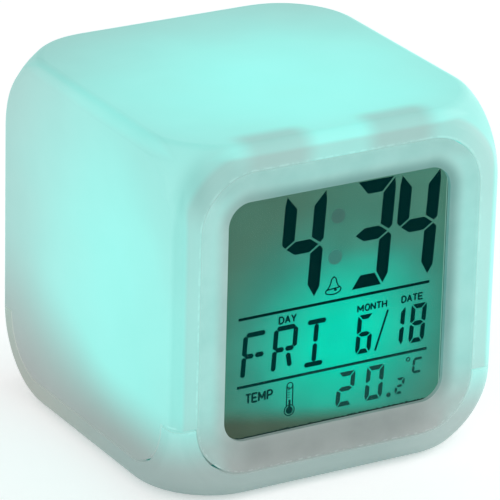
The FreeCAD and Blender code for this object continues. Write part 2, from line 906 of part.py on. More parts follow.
def make_controller_blob():
    """The drop of black resin over the clock's chip."""
    blob = rod(blob_radius, V(0, board_back, mid_z), V(0, board_back + blob_height, mid_z))
    rim = [edge for edge in blob.Edges if edge.Closed and edge.CenterOfMass.y > board_back + blob_height / 2]
    return blob.makeFillet(blob_height * blob_round_share, rim)


def make_voice_chip():
    y = (board_back + pin_width / 2, board_back + chip_height)
    body = box(around(chip_x, chip_width / 2), y, around(mid_z, chip_length / 2))
    pins = []
    for side in SIDES:
        for n in range(pin_count):
            z = mid_z + (n - (pin_count - 1) / 2) * pin_pitch
            x = sorted((chip_x + side * (chip_width / 2 - pin_width),
                        chip_x + side * (chip_width / 2 + pin_reach)))
            pins.append(box(x, (board_back, board_back + pin_width), around(z, pin_width / 2)))
    return join([body] + pins)


def make_crystal():
    y = board_back + crystal_radius
    low = V(crystal_x, y, mid_z + crystal_rise)
    can = rod(crystal_radius, low, low + V(0, 0, crystal_length))
    return can.makeFillet(crystal_radius / 4, [edge for edge in can.Edges if edge.Closed])


def make_capacitor():
    start = V(capacitor_x, board_back, mid_z - capacitor_drop)
    can = rod(capacitor_radius, start, start + V(0, capacitor_length, 0))
    return can.makeFillet(capacitor_radius / 5, [edge for edge in can.Edges if edge.Closed])


def make_heat_sensor():
    """The temperature sensor: a bead on two legs."""
    legs = []
    for side in SIDES:
        start = V(sensor_x + side * sensor_leg_spacing / 2, board_back, mid_z + sensor_rise)
        legs.append(rod(sensor_leg_radius, start, start + V(0, sensor_leg_length, 0)))
    bead = Part.makeSphere(sensor_radius, V(sensor_x, board_back + sensor_leg_length, mid_z + sensor_rise))
    return join([bead] + legs)


def make_front_glass():
    return box(both(glass_half_width), (glass_front, ink_front), (glass_low, glass_high))


def make_rear_glass():
    height = (glass_low - ledge_height, glass_high)
    return box(both(glass_half_width), (rear_glass_front, rear_glass_back), height)


def make_diffuser():
    return rounded_box(both(diffuser_half_width), (rear_glass_back, diffuser_back),
                       (glass_low + diffuser_inset, glass_high - diffuser_inset), diffuser_inset, AXIS_Y)


def make_contact_strip():
    """The striped rubber strip that carries the signals from the board to the glass."""
    low = glass_low - ledge_height + pocket_gap
    high = low + strip_thickness - 2 * pocket_gap
    return box(both(strip_half_length), (rear_glass_back, holder_back), (low, high))


def lean(x, z, base):
    """Slant a point of a digit to the right with its height."""
    return x + slant * (z - base)


def on_face(x, z):
    """A place of the drawn display, carried over to the window's real size."""
    return V(x * window_half_x / drawn_half, ink_front, mid_z + z * window_half_z / drawn_half)


def bar(points, base):
    """A thin solid in the ink layer from an outline of x and z."""
    corners = [on_face(lean(x, z, base), z) for x, z in points]
    return Part.Face(Part.makePolygon(corners + corners[:1])).extrude(V(0, ink_thickness, 0))


def end_bar(west, east, end, inner, nick, gap):
    """The level segment at the top or the foot of a digit: a long outer edge and mitred ends."""
    stroke = abs(end - inner)
    return [(west + nick + gap, end), (east - nick - gap, end),
            (east - stroke - gap, inner), (west + stroke + gap, inner)]


def middle_bar(west, east, z, stroke, gap):
    """The level segment in the middle of a digit, pointed at both ends."""
    nick = middle_nick_share * stroke + gap
    high, low = z + stroke / 2, z - stroke / 2
    return [(west + nick, z), (west + stroke + gap, high), (east - stroke - gap, high),
            (east - nick, z), (east - stroke - gap, low), (west + stroke + gap, low)]


def side_bar(outer, inner, end, middle, nick, gap):
    """An upright segment from one end of a digit to its middle, with its outer corners cut."""
    stroke = abs(inner - outer)
    inward = math.copysign(1, inner - outer)
    toward = math.copysign(1, middle - end)
    middle_nick = middle_nick_share * stroke
    start = end + toward * gap
    stop = middle - toward * gap
    return [(outer, start + toward * corner_share * stroke), (outer + inward * nick, start),
            (inner, start + toward * stroke), (inner, stop - toward * stroke / 2),
            (outer + inward * middle_nick, stop), (outer, stop - toward * middle_nick)]


SEGMENTS = {"0": "abcdef", "1": "bc", "2": "abged", "3": "abgcd", "4": "fgbc", "6": "afgedc", "8": "abcdefg"}


def digit(character, left, low, width, height, stroke, gap):
    """One seven segment digit as thin solids."""
    west, east = left, left + width
    south, north = low, low + height
    middle = low + height / 2
    top_nick, low_nick = top_nick_share * stroke, low_nick_share * stroke
    outlines = {
        "a": end_bar(west, east, north, north - stroke, top_nick, gap),
        "g": middle_bar(west, east, middle, stroke, gap),
        "d": end_bar(west, east, south, south + stroke, low_nick, gap),
        "f": side_bar(west, west + stroke, north, middle, top_nick, gap),
        "b": side_bar(east, east - stroke, north, middle, top_nick, gap),
        "e": side_bar(west, west + stroke, south, middle, low_nick, gap),
        "c": side_bar(east, east - stroke, south, middle, low_nick, gap)}
    return [bar(outlines[name], low) for name in SEGMENTS[character]]


def make_display_digits():
    """The dark segments that the display shows: time, date, temperature and its two rules."""
    ink = []
    rows = ((big_digits, big_lefts, big_low, big_width, big_height, big_stroke, big_gap),
            (row_digits, row_lefts, row_low, row_width, row_height, row_stroke, row_gap),
            (heat_digits, heat_lefts, heat_low, heat_width, heat_height, row_stroke, row_gap),
            ("2", (tenth_left,), heat_low, tenth_width, tenth_height, tenth_stroke, row_gap))
    for digits, lefts, *sizes in rows:
        for character, left in zip(digits, lefts):
            ink += digit(character, left, *sizes)
    through = V(0, ink_thickness, 0)
    for z in rule_heights:
        left = on_face(rule_x - rule_half_length, z)
        right = on_face(rule_x + rule_half_length, z)
        ink.append(box((left.x, right.x), (ink_front, rear_glass_front), around(left.z, rule_thickness / 2)))
    for x, z in dot_places:
        ink.append(rod(dot_radius, on_face(x, z), on_face(x, z) + through))
    point = on_face(*point_place)
    ink.append(rod(point_radius, point, point + through))
    return Part.makeCompound(ink)


def make_rear_bracket():
    plate = rounded_box(both(bracket_half_width), (bracket_front, bracket_back), (pad_height, bracket_high),
                        bracket_corner_radius, AXIS_Y)
    shelf = box(both(shelf_half_width), (bracket_back - shelf_depth, bracket_back),
                (bracket_high - shelf_thickness, bracket_high))
    pieces = [plate, shelf]
    cuts = [rod(speaker_hole_radius, V(0, bracket_front - overrun, speaker_z),
                V(0, bracket_back + overrun, speaker_z))]
    for side in SIDES:
        block, bore = foot_post(side, around(foot_post_y, foot_post_depth / 2))
        pieces.append(block)
        cuts.append(bore)
    return join(pieces).cut(cuts)


def make_speaker_basket():
    """Flange, sloping side and back of the speaker, turned about its axis; drawn along +Y from the back."""
    back = bracket_back - basket_depth
    inner = basket_back_radius - basket_wall
    rim = speaker_hole_radius - door_gap
    points = [V(0, back, 0), V(basket_back_radius, back, 0), V(rim, bracket_back - speaker_flange, 0),
              V(rim, bracket_back, 0), V(speaker_radius, bracket_back, 0),
              V(speaker_radius, bracket_back + speaker_flange, 0),
              V(rim - basket_wall, bracket_back + speaker_flange, 0),
              V(rim - basket_wall, bracket_back - speaker_flange, 0), V(inner, back + basket_wall, 0),
              V(0, back + basket_wall, 0)]
    face = Part.Face(Part.makePolygon(points + points[:1]))
    basket = face.revolve(ORIGIN, AXIS_Y, 360)
    basket.translate(V(0, 0, speaker_z))
    return basket


def make_speaker_magnet():
    back = bracket_back - basket_depth
    magnet = rod(magnet_radius, V(0, back - magnet_depth, speaker_z), V(0, back, speaker_z))
    return magnet.makeFillet(basket_wall / 2, [edge for edge in magnet.Edges if edge.Closed])


def make_speaker_cone():
    """A thin paper cone with a dust cap, its rim glued inside the flange."""
    rim_y = bracket_back + speaker_flange
    neck_y = rim_y - cone_depth
    edge = speaker_hole_radius - door_gap - basket_wall
    points = [V(0, neck_y, 0), V(cone_neck_radius, neck_y, 0), V(cone_rim_radius, rim_y - cone_wall, 0),
              V(edge, rim_y - cone_wall, 0), V(edge, rim_y, 0), V(cone_rim_radius, rim_y, 0),
              V(cone_neck_radius, neck_y + cone_wall, 0), V(0, neck_y + cone_wall, 0)]
    cone = Part.Face(Part.makePolygon(points + points[:1])).revolve(ORIGIN, AXIS_Y, 360)
    cone.translate(V(0, 0, speaker_z))
    dome_radius = cone_neck_radius * dome_share
    ball = Part.makeSphere(dome_radius, V(0, neck_y - dome_radius / 2, speaker_z))
    above = box(both(half_x), (neck_y + cone_wall / 2, half_y), (0, body_height))
    return join([cone, ball.common(above)])


def make_control_board():
    board = box(both(control_board_half_width), (bracket_back, control_board_back),
                around(strip_z, control_board_half_height))
    return board


def make_button_switch(x):
    """A small push switch, its round well open towards the cap."""
    body = box(around(x, tact_half), (control_board_back, tact_back), around(strip_z, tact_half))
    well = rod(stem_radius + well_gap, V(x, tact_back - well_depth, strip_z),
               V(x, tact_back + overrun, strip_z))
    return body.cut(well)


def make_button(x):
    """A round cap: head through the back, flange inside it, and a stem that ends in the switch."""
    head_end = half_y - button_top_gap
    flange_front = back_inner - stem_gap - button_flange
    head = rod(button_radius, V(x, flange_front, strip_z), V(x, head_end, strip_z))
    rim = [edge for edge in head.Edges if edge.Closed and edge.CenterOfMass.y > half_y - wall]
    head = head.makeFillet(button_edge, rim)
    flange = rod(button_flange_radius, V(x, flange_front, strip_z),
                 V(x, flange_front + button_flange, strip_z))
    stem = rod(stem_radius, V(x, tact_back - stem_bite, strip_z), V(x, flange_front, strip_z))
    return join([head, flange, stem])


def make_light_switch():
    """The housing of the slide switch, with the slot that its slider runs in."""
    centre = slider_x + slider_travel / 2
    y = (control_board_back, control_board_back + slider_housing_height)
    body = box(around(centre, slider_housing_half_width), y, around(strip_z, slider_housing_half_height))
    run = (slider_x - slider_half_width - well_gap, slider_x + slider_travel + slider_half_width + well_gap)
    slot = box(run, (y[1] - slider_housing_height / 2, y[1] + overrun),
               around(strip_z, slider_half_height + well_gap))
    return body.cut(slot)


def make_light_slider():
    low = control_board_back + slider_housing_height / 2 + pocket_gap
    high = half_y - button_top_gap
    knob = box(around(slider_x, slider_half_width), (low, high), around(strip_z, slider_half_height))
    ribs = []
    for n in range(slider_rib_count):
        x = slider_x + (n - (slider_rib_count - 1) / 2) * slider_half_width * 2 / slider_rib_count
        ribs.append(box(around(x, slider_rib_depth / 2), (high - slider_rib_depth, high + overrun),
                        around(strip_z, slider_half_height + overrun)))
    return knob.cut(ribs)


def make_light_board():
    height = (bay_top, bay_top + board_thickness)
    return box(both(light_board_half_width), both(light_board_half_depth), height)


def make_lamp(x):
    """A round-nosed lamp standing on the light board."""
    base = V(x, 0, bay_top + board_thickness)
    rim = rod(lamp_flange_radius, base, base + V(0, 0, lamp_flange))
    stem = rod(lamp_radius, base, base + V(0, 0, lamp_length))
    nose = Part.makeSphere(lamp_radius, base + V(0, 0, lamp_length))
    return join([rim, stem, nose])


def make_talk_key():
    """The push switch under the top of the cover, its well open upwards."""
    body = box(both(key_half), around(key_y, key_half), (bracket_high, key_top))
    well = rod(key_post_radius + stem_gap, V(0, key_y, key_top - well_depth), V(0, key_y, key_top + overrun))
    return body.cut(well)


def lead(points):
    """A round wire lead through points, its corners turned by arcs."""
    edges = []
    last = points[0]
    for before, corner, after in zip(points, points[1:], points[2:]):
        reach = lead_bend_share * min(corner.distanceToPoint(before), corner.distanceToPoint(after))
        entry = corner + (before - corner).normalize() * reach
        leave = corner + (after - corner).normalize() * reach
        edges.append(Part.makeLine(last, entry))
        edges.append(corner_arc(entry, corner, leave))
        last = leave
    edges.append(Part.makeLine(last, points[-1]))
    profile = Part.Wire([Part.makeCircle(lead_radius, points[0], points[1] - points[0])])
    return Part.Wire(edges).makePipeShell([profile], True, False)


def make_battery_lead(side):
    """From a terminal's solder tab up and forward to the main board."""
    x = side * abs(cell_places()[0][0])
    start_z = bay_top + tab_rise - lead_radius - pocket_gap
    start_y = -bay_half_y - lead_gap
    end = V(x / 2, board_back + lead_gap, mid_z - battery_lead_drop)
    middle_y = end.y + battery_lead_stand
    return lead([V(x, start_y, start_z), V(x, middle_y, start_z), V(end.x, middle_y, end.z), end])


def make_speaker_lead(side):
    """From the speaker's back past its magnet, down to the bay roof, along it and up to the main board."""
    x = side * (light_board_half_width + lead_clear)
    roof = bay_top + lead_radius + lead_gap
    back = bracket_back - basket_depth
    start = V(side * (magnet_radius + basket_back_radius) / 2, back - lead_gap, speaker_z)
    run_y = back - magnet_depth - lead_clear
    end = V(x * lead_landing_share, board_back + lead_gap, mid_z - blob_radius)
    front_y = board_back + lead_bend_run
    return lead([start, V(start.x, run_y, start.z), V(x, run_y, (start.z + roof) / 2),
                 V(x, run_y - lead_bend_run, roof), V(x, front_y + lead_slope_run, roof),
                 V(x, front_y, roof + lead_bend_run), V(end.x, front_y, end.z), end])


def export(name, shape):
    """Lift a piece so that the feet stand on the floor plane, check it and write it."""
    shape = shape.copy()
    shape.translate(V(0, 0, foot_stand))
    if not shape.isValid() or not shape.Solids:
        print("NOT VALID", name)
    shape.exportStep("parts/" + name + ".step")
    span = shape.BoundBox
    print(name, len(shape.Solids), round(shape.Volume, 1),
          [round(value, 2) for value in (span.XMin, span.XMax, span.YMin, span.YMax, span.ZMin, span.ZMax)])


def build_outer():
    export("upper_cover", make_upper_cover())
    export("front_bezel", make_front_bezel())
    export("base_tray", make_base_tray().cut(terminal_slots()))
    export("battery_door", make_battery_door())
    names = ("front_left", "back_left", "front_right", "back_right")
    for name, place in zip(names, four_corners(foot_x, foot_y)):
        export("foot_" + name, make_foot(place))
    for name, place in zip(names, four_corners(post_x, post_y)):
        export("return_spring_" + name, make_spring(place))
    export("cover_screws", make_cover_screws())
    export("floor_screws", make_floor_screws())


def build_power():
    for n, (x, end) in enumerate(cell_places()):
        export("battery_" + str(n + 1), make_battery(x, end))
    export("battery_terminal_left", make_terminal(0))
    export("battery_terminal_right", make_terminal(cell_count - 1))
    export("battery_link_front", make_link(1, 2, -1))
    export("battery_link_back_left", make_link(0, 1, 1))
    export("battery_link_back_right", make_link(2, 3, 1))


def build_display():
    export("lcd_front_glass", make_front_glass())
    export("lcd_digits", make_display_digits())
    export("lcd_rear_glass", make_rear_glass())
    export("backlight_diffuser", make_diffuser())
    export("display_holder", make_display_holder())
    export("lcd_contact_strip", make_contact_strip())


def build_electronics():
    export("main_board", make_main_board())
    export("board_screws", make_board_screws())
    export("controller_blob", make_controller_blob())
    export("voice_chip", make_voice_chip())
    export("crystal", make_crystal())
    export("capacitor", make_capacitor())
    export("temperature_sensor", make_heat_sensor())
    export("light_board", make_light_board())
    for name, x in (("left", -light_spacing), ("middle", 0), ("right", light_spacing)):
        export("lamp_" + name, make_lamp(x))


def build_sound_and_controls():
    export("rear_bracket", make_rear_bracket())
    export("speaker_basket", make_speaker_basket())
    export("speaker_magnet", make_speaker_magnet())
    export("speaker_cone", make_speaker_cone())
    export("control_board", make_control_board())
    for n, x in enumerate(button_places()):
        export("button_switch_" + str(n + 1), make_button_switch(x))
        export("button_" + str(n + 1), make_button(x))
    export("light_switch", make_light_switch())
    export("light_slider", make_light_slider())
    export("talk_key", make_talk_key())
    export("battery_lead_black", make_battery_lead(-1))
    export("battery_lead_red", make_battery_lead(1))
    export("speaker_lead_black", make_speaker_lead(-1))
    export("speaker_lead_red", make_speaker_lead(1))


os.makedirs("parts", exist_ok=True)
build_outer()
build_power()
build_display()
build_electronics()
build_sound_and_controls()
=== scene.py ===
# %% [markdown]
# # A glowing cube clock
# A milky plastic cube stands on four small feet and is lit teal from inside.
# One side holds a liquid crystal display behind a window.
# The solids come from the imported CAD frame, so this lesson is mostly about finishes:
# how light that shines through plastic can be painted with nodes, and how a display is dressed.

# %% Load the frame
import math

import bmesh
import bpy
from mathutils import Matrix, Vector


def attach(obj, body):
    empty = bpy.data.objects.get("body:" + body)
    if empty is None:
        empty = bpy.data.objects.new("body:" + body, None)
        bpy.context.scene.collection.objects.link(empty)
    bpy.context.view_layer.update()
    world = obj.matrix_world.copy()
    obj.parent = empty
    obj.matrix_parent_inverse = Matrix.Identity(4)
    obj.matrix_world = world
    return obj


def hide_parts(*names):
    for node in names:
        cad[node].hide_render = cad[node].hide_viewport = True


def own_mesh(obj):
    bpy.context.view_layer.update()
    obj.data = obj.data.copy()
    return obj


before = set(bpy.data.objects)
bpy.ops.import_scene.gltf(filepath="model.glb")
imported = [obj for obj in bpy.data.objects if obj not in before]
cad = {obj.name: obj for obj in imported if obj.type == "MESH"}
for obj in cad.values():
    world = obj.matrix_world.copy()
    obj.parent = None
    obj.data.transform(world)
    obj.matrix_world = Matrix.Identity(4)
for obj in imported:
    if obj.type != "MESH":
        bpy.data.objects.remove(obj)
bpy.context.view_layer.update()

MM = 0.001
lift = 0.8            # the feet hold the cube this far above the floor, in millimetres
middle = 40.8         # height of the middle of the cube and of its window
print("CAD nodes:", len(cad))

# %% [markdown]
# ## The camera
# The photograph was taken with a long lens from a little above and from the left of the display.
# The angles below turn the camera round the middle of the cube, then lean it by a degree or so.

# %% Camera
view_azimuth, view_elevation, view_roll = -30.63, 22.25, 1.51
view_distance, view_right, view_up = 978.66, 0.85, -1.70
focal_pixels, frame_pixels, sensor_width = 4459.47, 500.0, 36.0


def camera_axes(azimuth, elevation, roll):
    """Right, up and back of a camera that looks at the middle of the cube."""
    a, e, r = (math.radians(angle) for angle in (azimuth, elevation, roll))
    back = Vector((math.sin(a) * math.cos(e), -math.cos(a) * math.cos(e), math.sin(e)))
    right = Vector((0, 0, 1)).cross(back).normalized()
    up = back.cross(right)
    return right * math.cos(r) + up * math.sin(r), up * math.cos(r) - right * math.sin(r), back


right, up, back = camera_axes(view_azimuth, view_elevation, view_roll)
camera_data = bpy.data.cameras.new("Camera")
camera_data.sensor_width = sensor_width
camera_data.lens = focal_pixels / frame_pixels * sensor_width
camera = bpy.data.objects.new("Camera", camera_data)
bpy.context.scene.collection.objects.link(camera)
camera.matrix_world = Matrix((right, up, back)).transposed().to_4x4()
camera.location = (Vector((0, 0, middle)) + back * view_distance + right * view_right + up * view_up) * MM
bpy.context.scene.camera = camera
bpy.context.scene.view_settings.view_transform = "Standard"
print("lens", round(camera_data.lens, 1), "mm")

# %% [markdown]
# ## Building shader nodes in code
# Three small helpers keep the node code readable. add_node makes a node and plugs in either a socket or
# a plain value, calc is a Math node, and remap is a Map Range node.

# %% Node helpers


def add_node(tree, kind, plugs=None, **settings):
    """One node with its settings, and each input linked to a socket or set to a value."""
    node = tree.nodes.new(kind)
    for name, value in settings.items():
        setattr(node, name, value)
    for name, value in (plugs or {}).items():
        if isinstance(value, bpy.types.NodeSocket):
            tree.links.new(value, node.inputs[name])
        else:
            node.inputs[name].default_value = value
    return node


def calc(tree, operation, first, second=0.0):
    """A Math node's result."""
    return add_node(tree, "ShaderNodeMath", {0: first, 1: second}, operation=operation).outputs[0]


def remap(tree, value, low, high, to_low=0.0, to_high=1.0, smooth=True):
    """A Map Range node's result, clamped at both ends."""
    kind = "SMOOTHSTEP" if smooth else "LINEAR"
    plugs = {"Value": value, "From Min": low, "From Max": high, "To Min": to_low, "To Max": to_high}
    return add_node(tree, "ShaderNodeMapRange", plugs, interpolation_type=kind).outputs["Result"]


def pulse(tree, value, centre, half, soft):
    """1 within half of a centre, falling to 0 over a soft edge."""
    away = calc(tree, "ABSOLUTE", calc(tree, "SUBTRACT", value, centre))
    return remap(tree, away, half + soft, half - soft)


def product(tree, *values):
    """Several values multiplied together."""
    result = values[0]
    for value in values[1:]:
        result = calc(tree, "MULTIPLY", result, value)
    return result


def fade(tree, share, level):
    """1 where a share is 0, and the level where it is 1."""
    return remap(tree, share, 0.0, 1.0, 1.0, level, False)


def mix_colour(tree, share, first, second):
    """A Mix node's colour."""
    node = tree.nodes.new("ShaderNodeMix")
    node.data_type = "RGBA"
    for socket, value in ((node.inputs["Factor"], share), (node.inputs[6], first), (node.inputs[7], second)):
        if isinstance(value, bpy.types.NodeSocket):
            tree.links.new(value, socket)
        else:
            socket.default_value = value if socket.type == "VALUE" else (*value, 1.0)[:4]
    return node.outputs[2]


def split(tree, vector):
    """The x, y and z of a vector."""
    return add_node(tree, "ShaderNodeSeparateXYZ", {0: vector}).outputs


def noise(tree, place, scale, detail=2.0, roughness=0.5):
    """The value of a noise pattern."""
    plugs = {"Vector": place, "Scale": scale, "Detail": detail, "Roughness": roughness}
    return add_node(tree, "ShaderNodeTexNoise", plugs).outputs["Fac"]


def wander(tree, place, scale, detail, low, high):
    """A value that wanders between two ends with a noise pattern."""
    return remap(tree, noise(tree, place, scale, detail), 0.3, 0.7, low, high, False)


def new_group(name, inputs, outputs):
    """An empty shader node group with named sockets: its tree, its inputs and its output node."""
    tree = bpy.data.node_groups.new(name, "ShaderNodeTree")
    for label, kind, value in inputs:
        socket = tree.interface.new_socket(label, in_out="INPUT", socket_type=kind)
        if value is not None:
            socket.default_value = value
    for label, kind in outputs:
        tree.interface.new_socket(label, in_out="OUTPUT", socket_type=kind)
    return tree, tree.nodes.new("NodeGroupInput").outputs, tree.nodes.new("NodeGroupOutput")


def use_group(tree, group, plugs):
    """A group placed in a material, with its own values."""
    node = tree.nodes.new("ShaderNodeGroup")
    node.node_tree = group
    for name, value in plugs.items():
        if isinstance(value, bpy.types.NodeSocket):
            tree.links.new(value, node.inputs[name])
        else:
            node.inputs[name].default_value = value
    return node.outputs


VECTOR, FLOAT = "NodeSocketVector", "NodeSocketFloat"

# %% [markdown]
# ## The stage
# The photograph is a cut-out on white, so the floor and the world are white for the camera, for
# reflections and for what is seen through glass. The object itself is lit at a plain level, brighter
# from the right than from the left, because the right edge of the cube is the palest in the photograph.

# %% Stage: floor, world and lamps
floor_size, floor_tone, floor_fill = 6.0, 0.90, 0.38
sky_level = 0.52


def camera_share(tree):
    """1 for rays that show the background: seen by the camera, mirrored or looked at through glass."""
    rays = tree.nodes.new("ShaderNodeLightPath").outputs
    share = calc(tree, "MAXIMUM", rays["Is Camera Ray"], rays["Is Glossy Ray"])
    return calc(tree, "MAXIMUM", share, rays["Is Transmission Ray"])


def make_world():
    world = bpy.data.worlds.new("Studio")
    bpy.context.scene.world = world
    world.use_nodes = True
    tree = world.node_tree
    tree.nodes.clear()
    light = add_node(tree, "ShaderNodeBackground", {"Color": (1, 1, 1, 1), "Strength": sky_level})
    seen = add_node(tree, "ShaderNodeBackground", {"Color": (1, 1, 1, 1), "Strength": 1.0})
    mixed = add_node(tree, "ShaderNodeMixShader",
                     {0: camera_share(tree), 1: light.outputs[0], 2: seen.outputs[0]})
    add_node(tree, "ShaderNodeOutputWorld", {"Surface": mixed.outputs[0]})


def make_floor():
    """A sheet of white paper, seen through from below, so that the clock's underside can be looked at."""
    form = bmesh.new()
    bmesh.ops.create_grid(form, x_segments=1, y_segments=1, size=floor_size / 2)
    mesh = bpy.data.meshes.new("floor")
    form.to_mesh(mesh)
    form.free()
    floor = bpy.data.objects.new("floor", mesh)
    bpy.context.scene.collection.objects.link(floor)
    finish = bpy.data.materials.new("White paper floor")
    finish.use_nodes = True
    tree = finish.node_tree
    tree.nodes.clear()
    paper = add_node(tree, "ShaderNodeBsdfDiffuse", {"Color": (floor_tone, floor_tone, floor_tone, 1)})
    glow = add_node(tree, "ShaderNodeEmission", {"Color": (1, 1, 1, 1), "Strength": floor_fill})
    both = add_node(tree, "ShaderNodeAddShader", {0: paper.outputs[0], 1: glow.outputs[0]})
    seen = add_node(tree, "ShaderNodeMixShader",
                    {0: camera_share(tree), 1: paper.outputs[0], 2: both.outputs[0]})
    clear = add_node(tree, "ShaderNodeBsdfTransparent")
    side = tree.nodes.new("ShaderNodeNewGeometry").outputs["Backfacing"]
    shown = add_node(tree, "ShaderNodeMixShader", {0: side, 1: seen.outputs[0], 2: clear.outputs[0]})
    add_node(tree, "ShaderNodeOutputMaterial", {"Surface": shown.outputs[0]})
    mesh.materials.append(finish)


def make_lamp(name, place, size, power):
    """A square soft box that looks at the cube."""
    data = bpy.data.lights.new(name, "AREA")
    data.size, data.energy = size, power
    lamp = bpy.data.objects.new(name, data)
    bpy.context.scene.collection.objects.link(lamp)
    lamp.location = place
    aim = Vector((0, 0, middle * MM)) - Vector(place)
    lamp.rotation_euler = aim.to_track_quat("-Z", "Y").to_euler()
    lamp.visible_glossy = False


make_world()
make_floor()
make_lamp("soft_box_right", (1.3, -0.2, 0.45), 0.8, 9.2)
make_lamp("soft_box_left", (-1.0, -1.0, 0.38), 0.9, 7.8)
print("stage ready")

# %% [markdown]
# ## Light that shines through plastic
# The real case is milky, and lamps inside make it glow. Tracing light through a wall that scatters it is
# slow and grainy, so the glow is painted instead: a group works out, from the place on the case in
# millimetres, how much light comes through. It fades with the distance from the lamps' brightest spot,
# and it falls off near the floor, where the battery bay stands in the way. The far side from the display
# is shaded higher up and more softly.

# %% Glow group
bright_spot = (4.0, -12.0, 42.0)
near_distance, far_distance, far_glow = 41.0, 80.0, 0.42
rear_shade, rear_fade, rear_dim = (-20.0, 38.0), (4.0, 38.0), 0.84
shade_height, shade_rise = 15.5, 6.5
shade_width, shade_spread, shade_floor = 8.0, 14.0, 0.12


def make_glow_group():
    tree, inputs, output = new_group("Inner glow", [("Place", VECTOR, None)], [("Glow", FLOAT)])
    place = inputs["Place"]
    away = add_node(tree, "ShaderNodeVectorMath", {0: place, 1: bright_spot}, operation="DISTANCE")
    reach = remap(tree, away.outputs["Value"], near_distance, far_distance, 1.0, far_glow, False)
    x, y, z = split(tree, place)
    rear = remap(tree, y, *rear_shade)
    half = calc(tree, "MULTIPLY_ADD", rear, shade_spread)
    half.node.inputs[2].default_value = shade_width
    centre = calc(tree, "MULTIPLY_ADD", rear, shade_rise)
    centre.node.inputs[2].default_value = shade_height
    low = calc(tree, "SUBTRACT", centre, half)
    high = calc(tree, "ADD", centre, half)
    bay = remap(tree, z, low, high, shade_floor, 1.0)
    uneven = wander(tree, place, 0.045, 1.0, 0.96, 1.04)
    glow = product(tree, reach, bay, uneven, remap(tree, y, *rear_fade, 1.0, rear_dim))
    tree.links.new(glow, output.inputs["Glow"])
    return tree


glow_group = make_glow_group()

# %% [markdown]
# ## Distance to a rounded square
# The bezel, the window and the rim of the display are all rounded squares about the same middle.
# One group gives the distance to such an outline: negative inside, zero on it, positive outside.

# %% Outline group


def make_outline_group():
    tree, inputs, output = new_group(
        "Rounded square", [("Place", VECTOR, None), ("Half", FLOAT, 30.0), ("Radius", FLOAT, 5.0)],
        [("Distance", FLOAT)])
    x, y, z = split(tree, inputs["Place"])
    straight = calc(tree, "SUBTRACT", inputs["Half"], inputs["Radius"])
    across = calc(tree, "SUBTRACT", calc(tree, "ABSOLUTE", x), straight)
    upward = calc(tree, "SUBTRACT", calc(tree, "ABSOLUTE", calc(tree, "SUBTRACT", z, middle)), straight)
    square = [calc(tree, "POWER", calc(tree, "MAXIMUM", side, 0.0), 2.0) for side in (across, upward)]
    corner = calc(tree, "SQRT", calc(tree, "ADD", *square))
    inside = calc(tree, "MINIMUM", calc(tree, "MAXIMUM", across, upward), 0.0)
    distance = calc(tree, "SUBTRACT", calc(tree, "ADD", corner, inside), inputs["Radius"])
    tree.links.new(distance, output.inputs["Distance"])
    return tree


outline_group = make_outline_group()

# %% [markdown]
# ## Moulded skin
# Satin mouldings are never one flat colour. This group gives three things that every plastic piece uses
# with its own values: a slow change of tone, a fine grain for the bump, and rare specks of dust.

# %% Moulded skin group


def make_skin_group():
    tree, inputs, output = new_group(
        "Moulded skin", [("Place", VECTOR, None), ("Grain", FLOAT, 1.6), ("Mottle", FLOAT, 0.05)],
        [("Tone", FLOAT), ("Height", FLOAT), ("Speck", FLOAT)])
    place = inputs["Place"]
    slow = noise(tree, place, 0.11, 3.0)
    tone = calc(tree, "MULTIPLY_ADD", calc(tree, "SUBTRACT", slow, 0.5), inputs["Mottle"])
    tone.node.inputs[2].default_value = 1.0
    fine = noise(tree, place, inputs["Grain"], 3.0, 0.6)
    ripple = noise(tree, place, 0.25, 1.0)
    height = calc(tree, "ADD", fine, calc(tree, "MULTIPLY", ripple, 0.6))
    cells = add_node(tree, "ShaderNodeTexVoronoi", {"Vector": place, "Scale": 0.09}, feature="F1")
    near = remap(tree, cells.outputs["Distance"], 0.030, 0.012)
    chosen = remap(tree, noise(tree, place, 0.05, 0.0), 0.60, 0.66)
    tree.links.new(tone, output.inputs["Tone"])
    tree.links.new(height, output.inputs["Height"])
    tree.links.new(calc(tree, "MULTIPLY", near, chosen), output.inputs["Speck"])
    return tree


skin_group = make_skin_group()

# %% [markdown]
# ## Lit gaps
# The pieces of the case meet with narrow gaps. In milky plastic a gap is hardly dark at all, because
# light comes through both of its walls. This group finds the walls of the gaps: they lie near the outline
# of a side panel, or near the level seam, and they don't face outwards as the skin does there.

# %% Gap group
panel_half, panel_round, seam_height = 34.2, 12.6, 19.2
seam_half, wall_half, wall_soft = 0.7, 0.9, 0.1
level_turn, outward_turn = (0.55, 0.75), (0.8, 0.6)


def panel_distance(tree, place):
    """How far a place lies outside the outline of a side panel."""
    plugs = {"Place": place, "Half": panel_half, "Radius": panel_round}
    return use_group(tree, outline_group, plugs)["Distance"]


def make_gap_group():
    tree, inputs, output = new_group("Gap walls", [("Place", VECTOR, None), ("Normal", VECTOR, None)],
                                     [("Gap", FLOAT)])
    place = inputs["Place"]
    x, y, z = split(tree, place)
    across, deep, up = [calc(tree, "ABSOLUTE", part) for part in split(tree, inputs["Normal"])]
    turned = add_node(tree, "ShaderNodeCombineXYZ", {"X": y, "Y": x, "Z": z}).outputs[0]
    seam = pulse(tree, z, seam_height, seam_half, wall_soft)
    gap = calc(tree, "MULTIPLY", seam, remap(tree, up, *level_turn))
    for face_place, facing in ((place, deep), (turned, across)):
        outline = panel_distance(tree, face_place)
        wall = pulse(tree, outline, 0.0, wall_half, wall_soft)
        wall = calc(tree, "MULTIPLY", wall, remap(tree, facing, *outward_turn))
        gap = calc(tree, "MAXIMUM", gap, wall)
    tree.links.new(gap, output.inputs["Gap"])
    return tree


gap_group = make_gap_group()

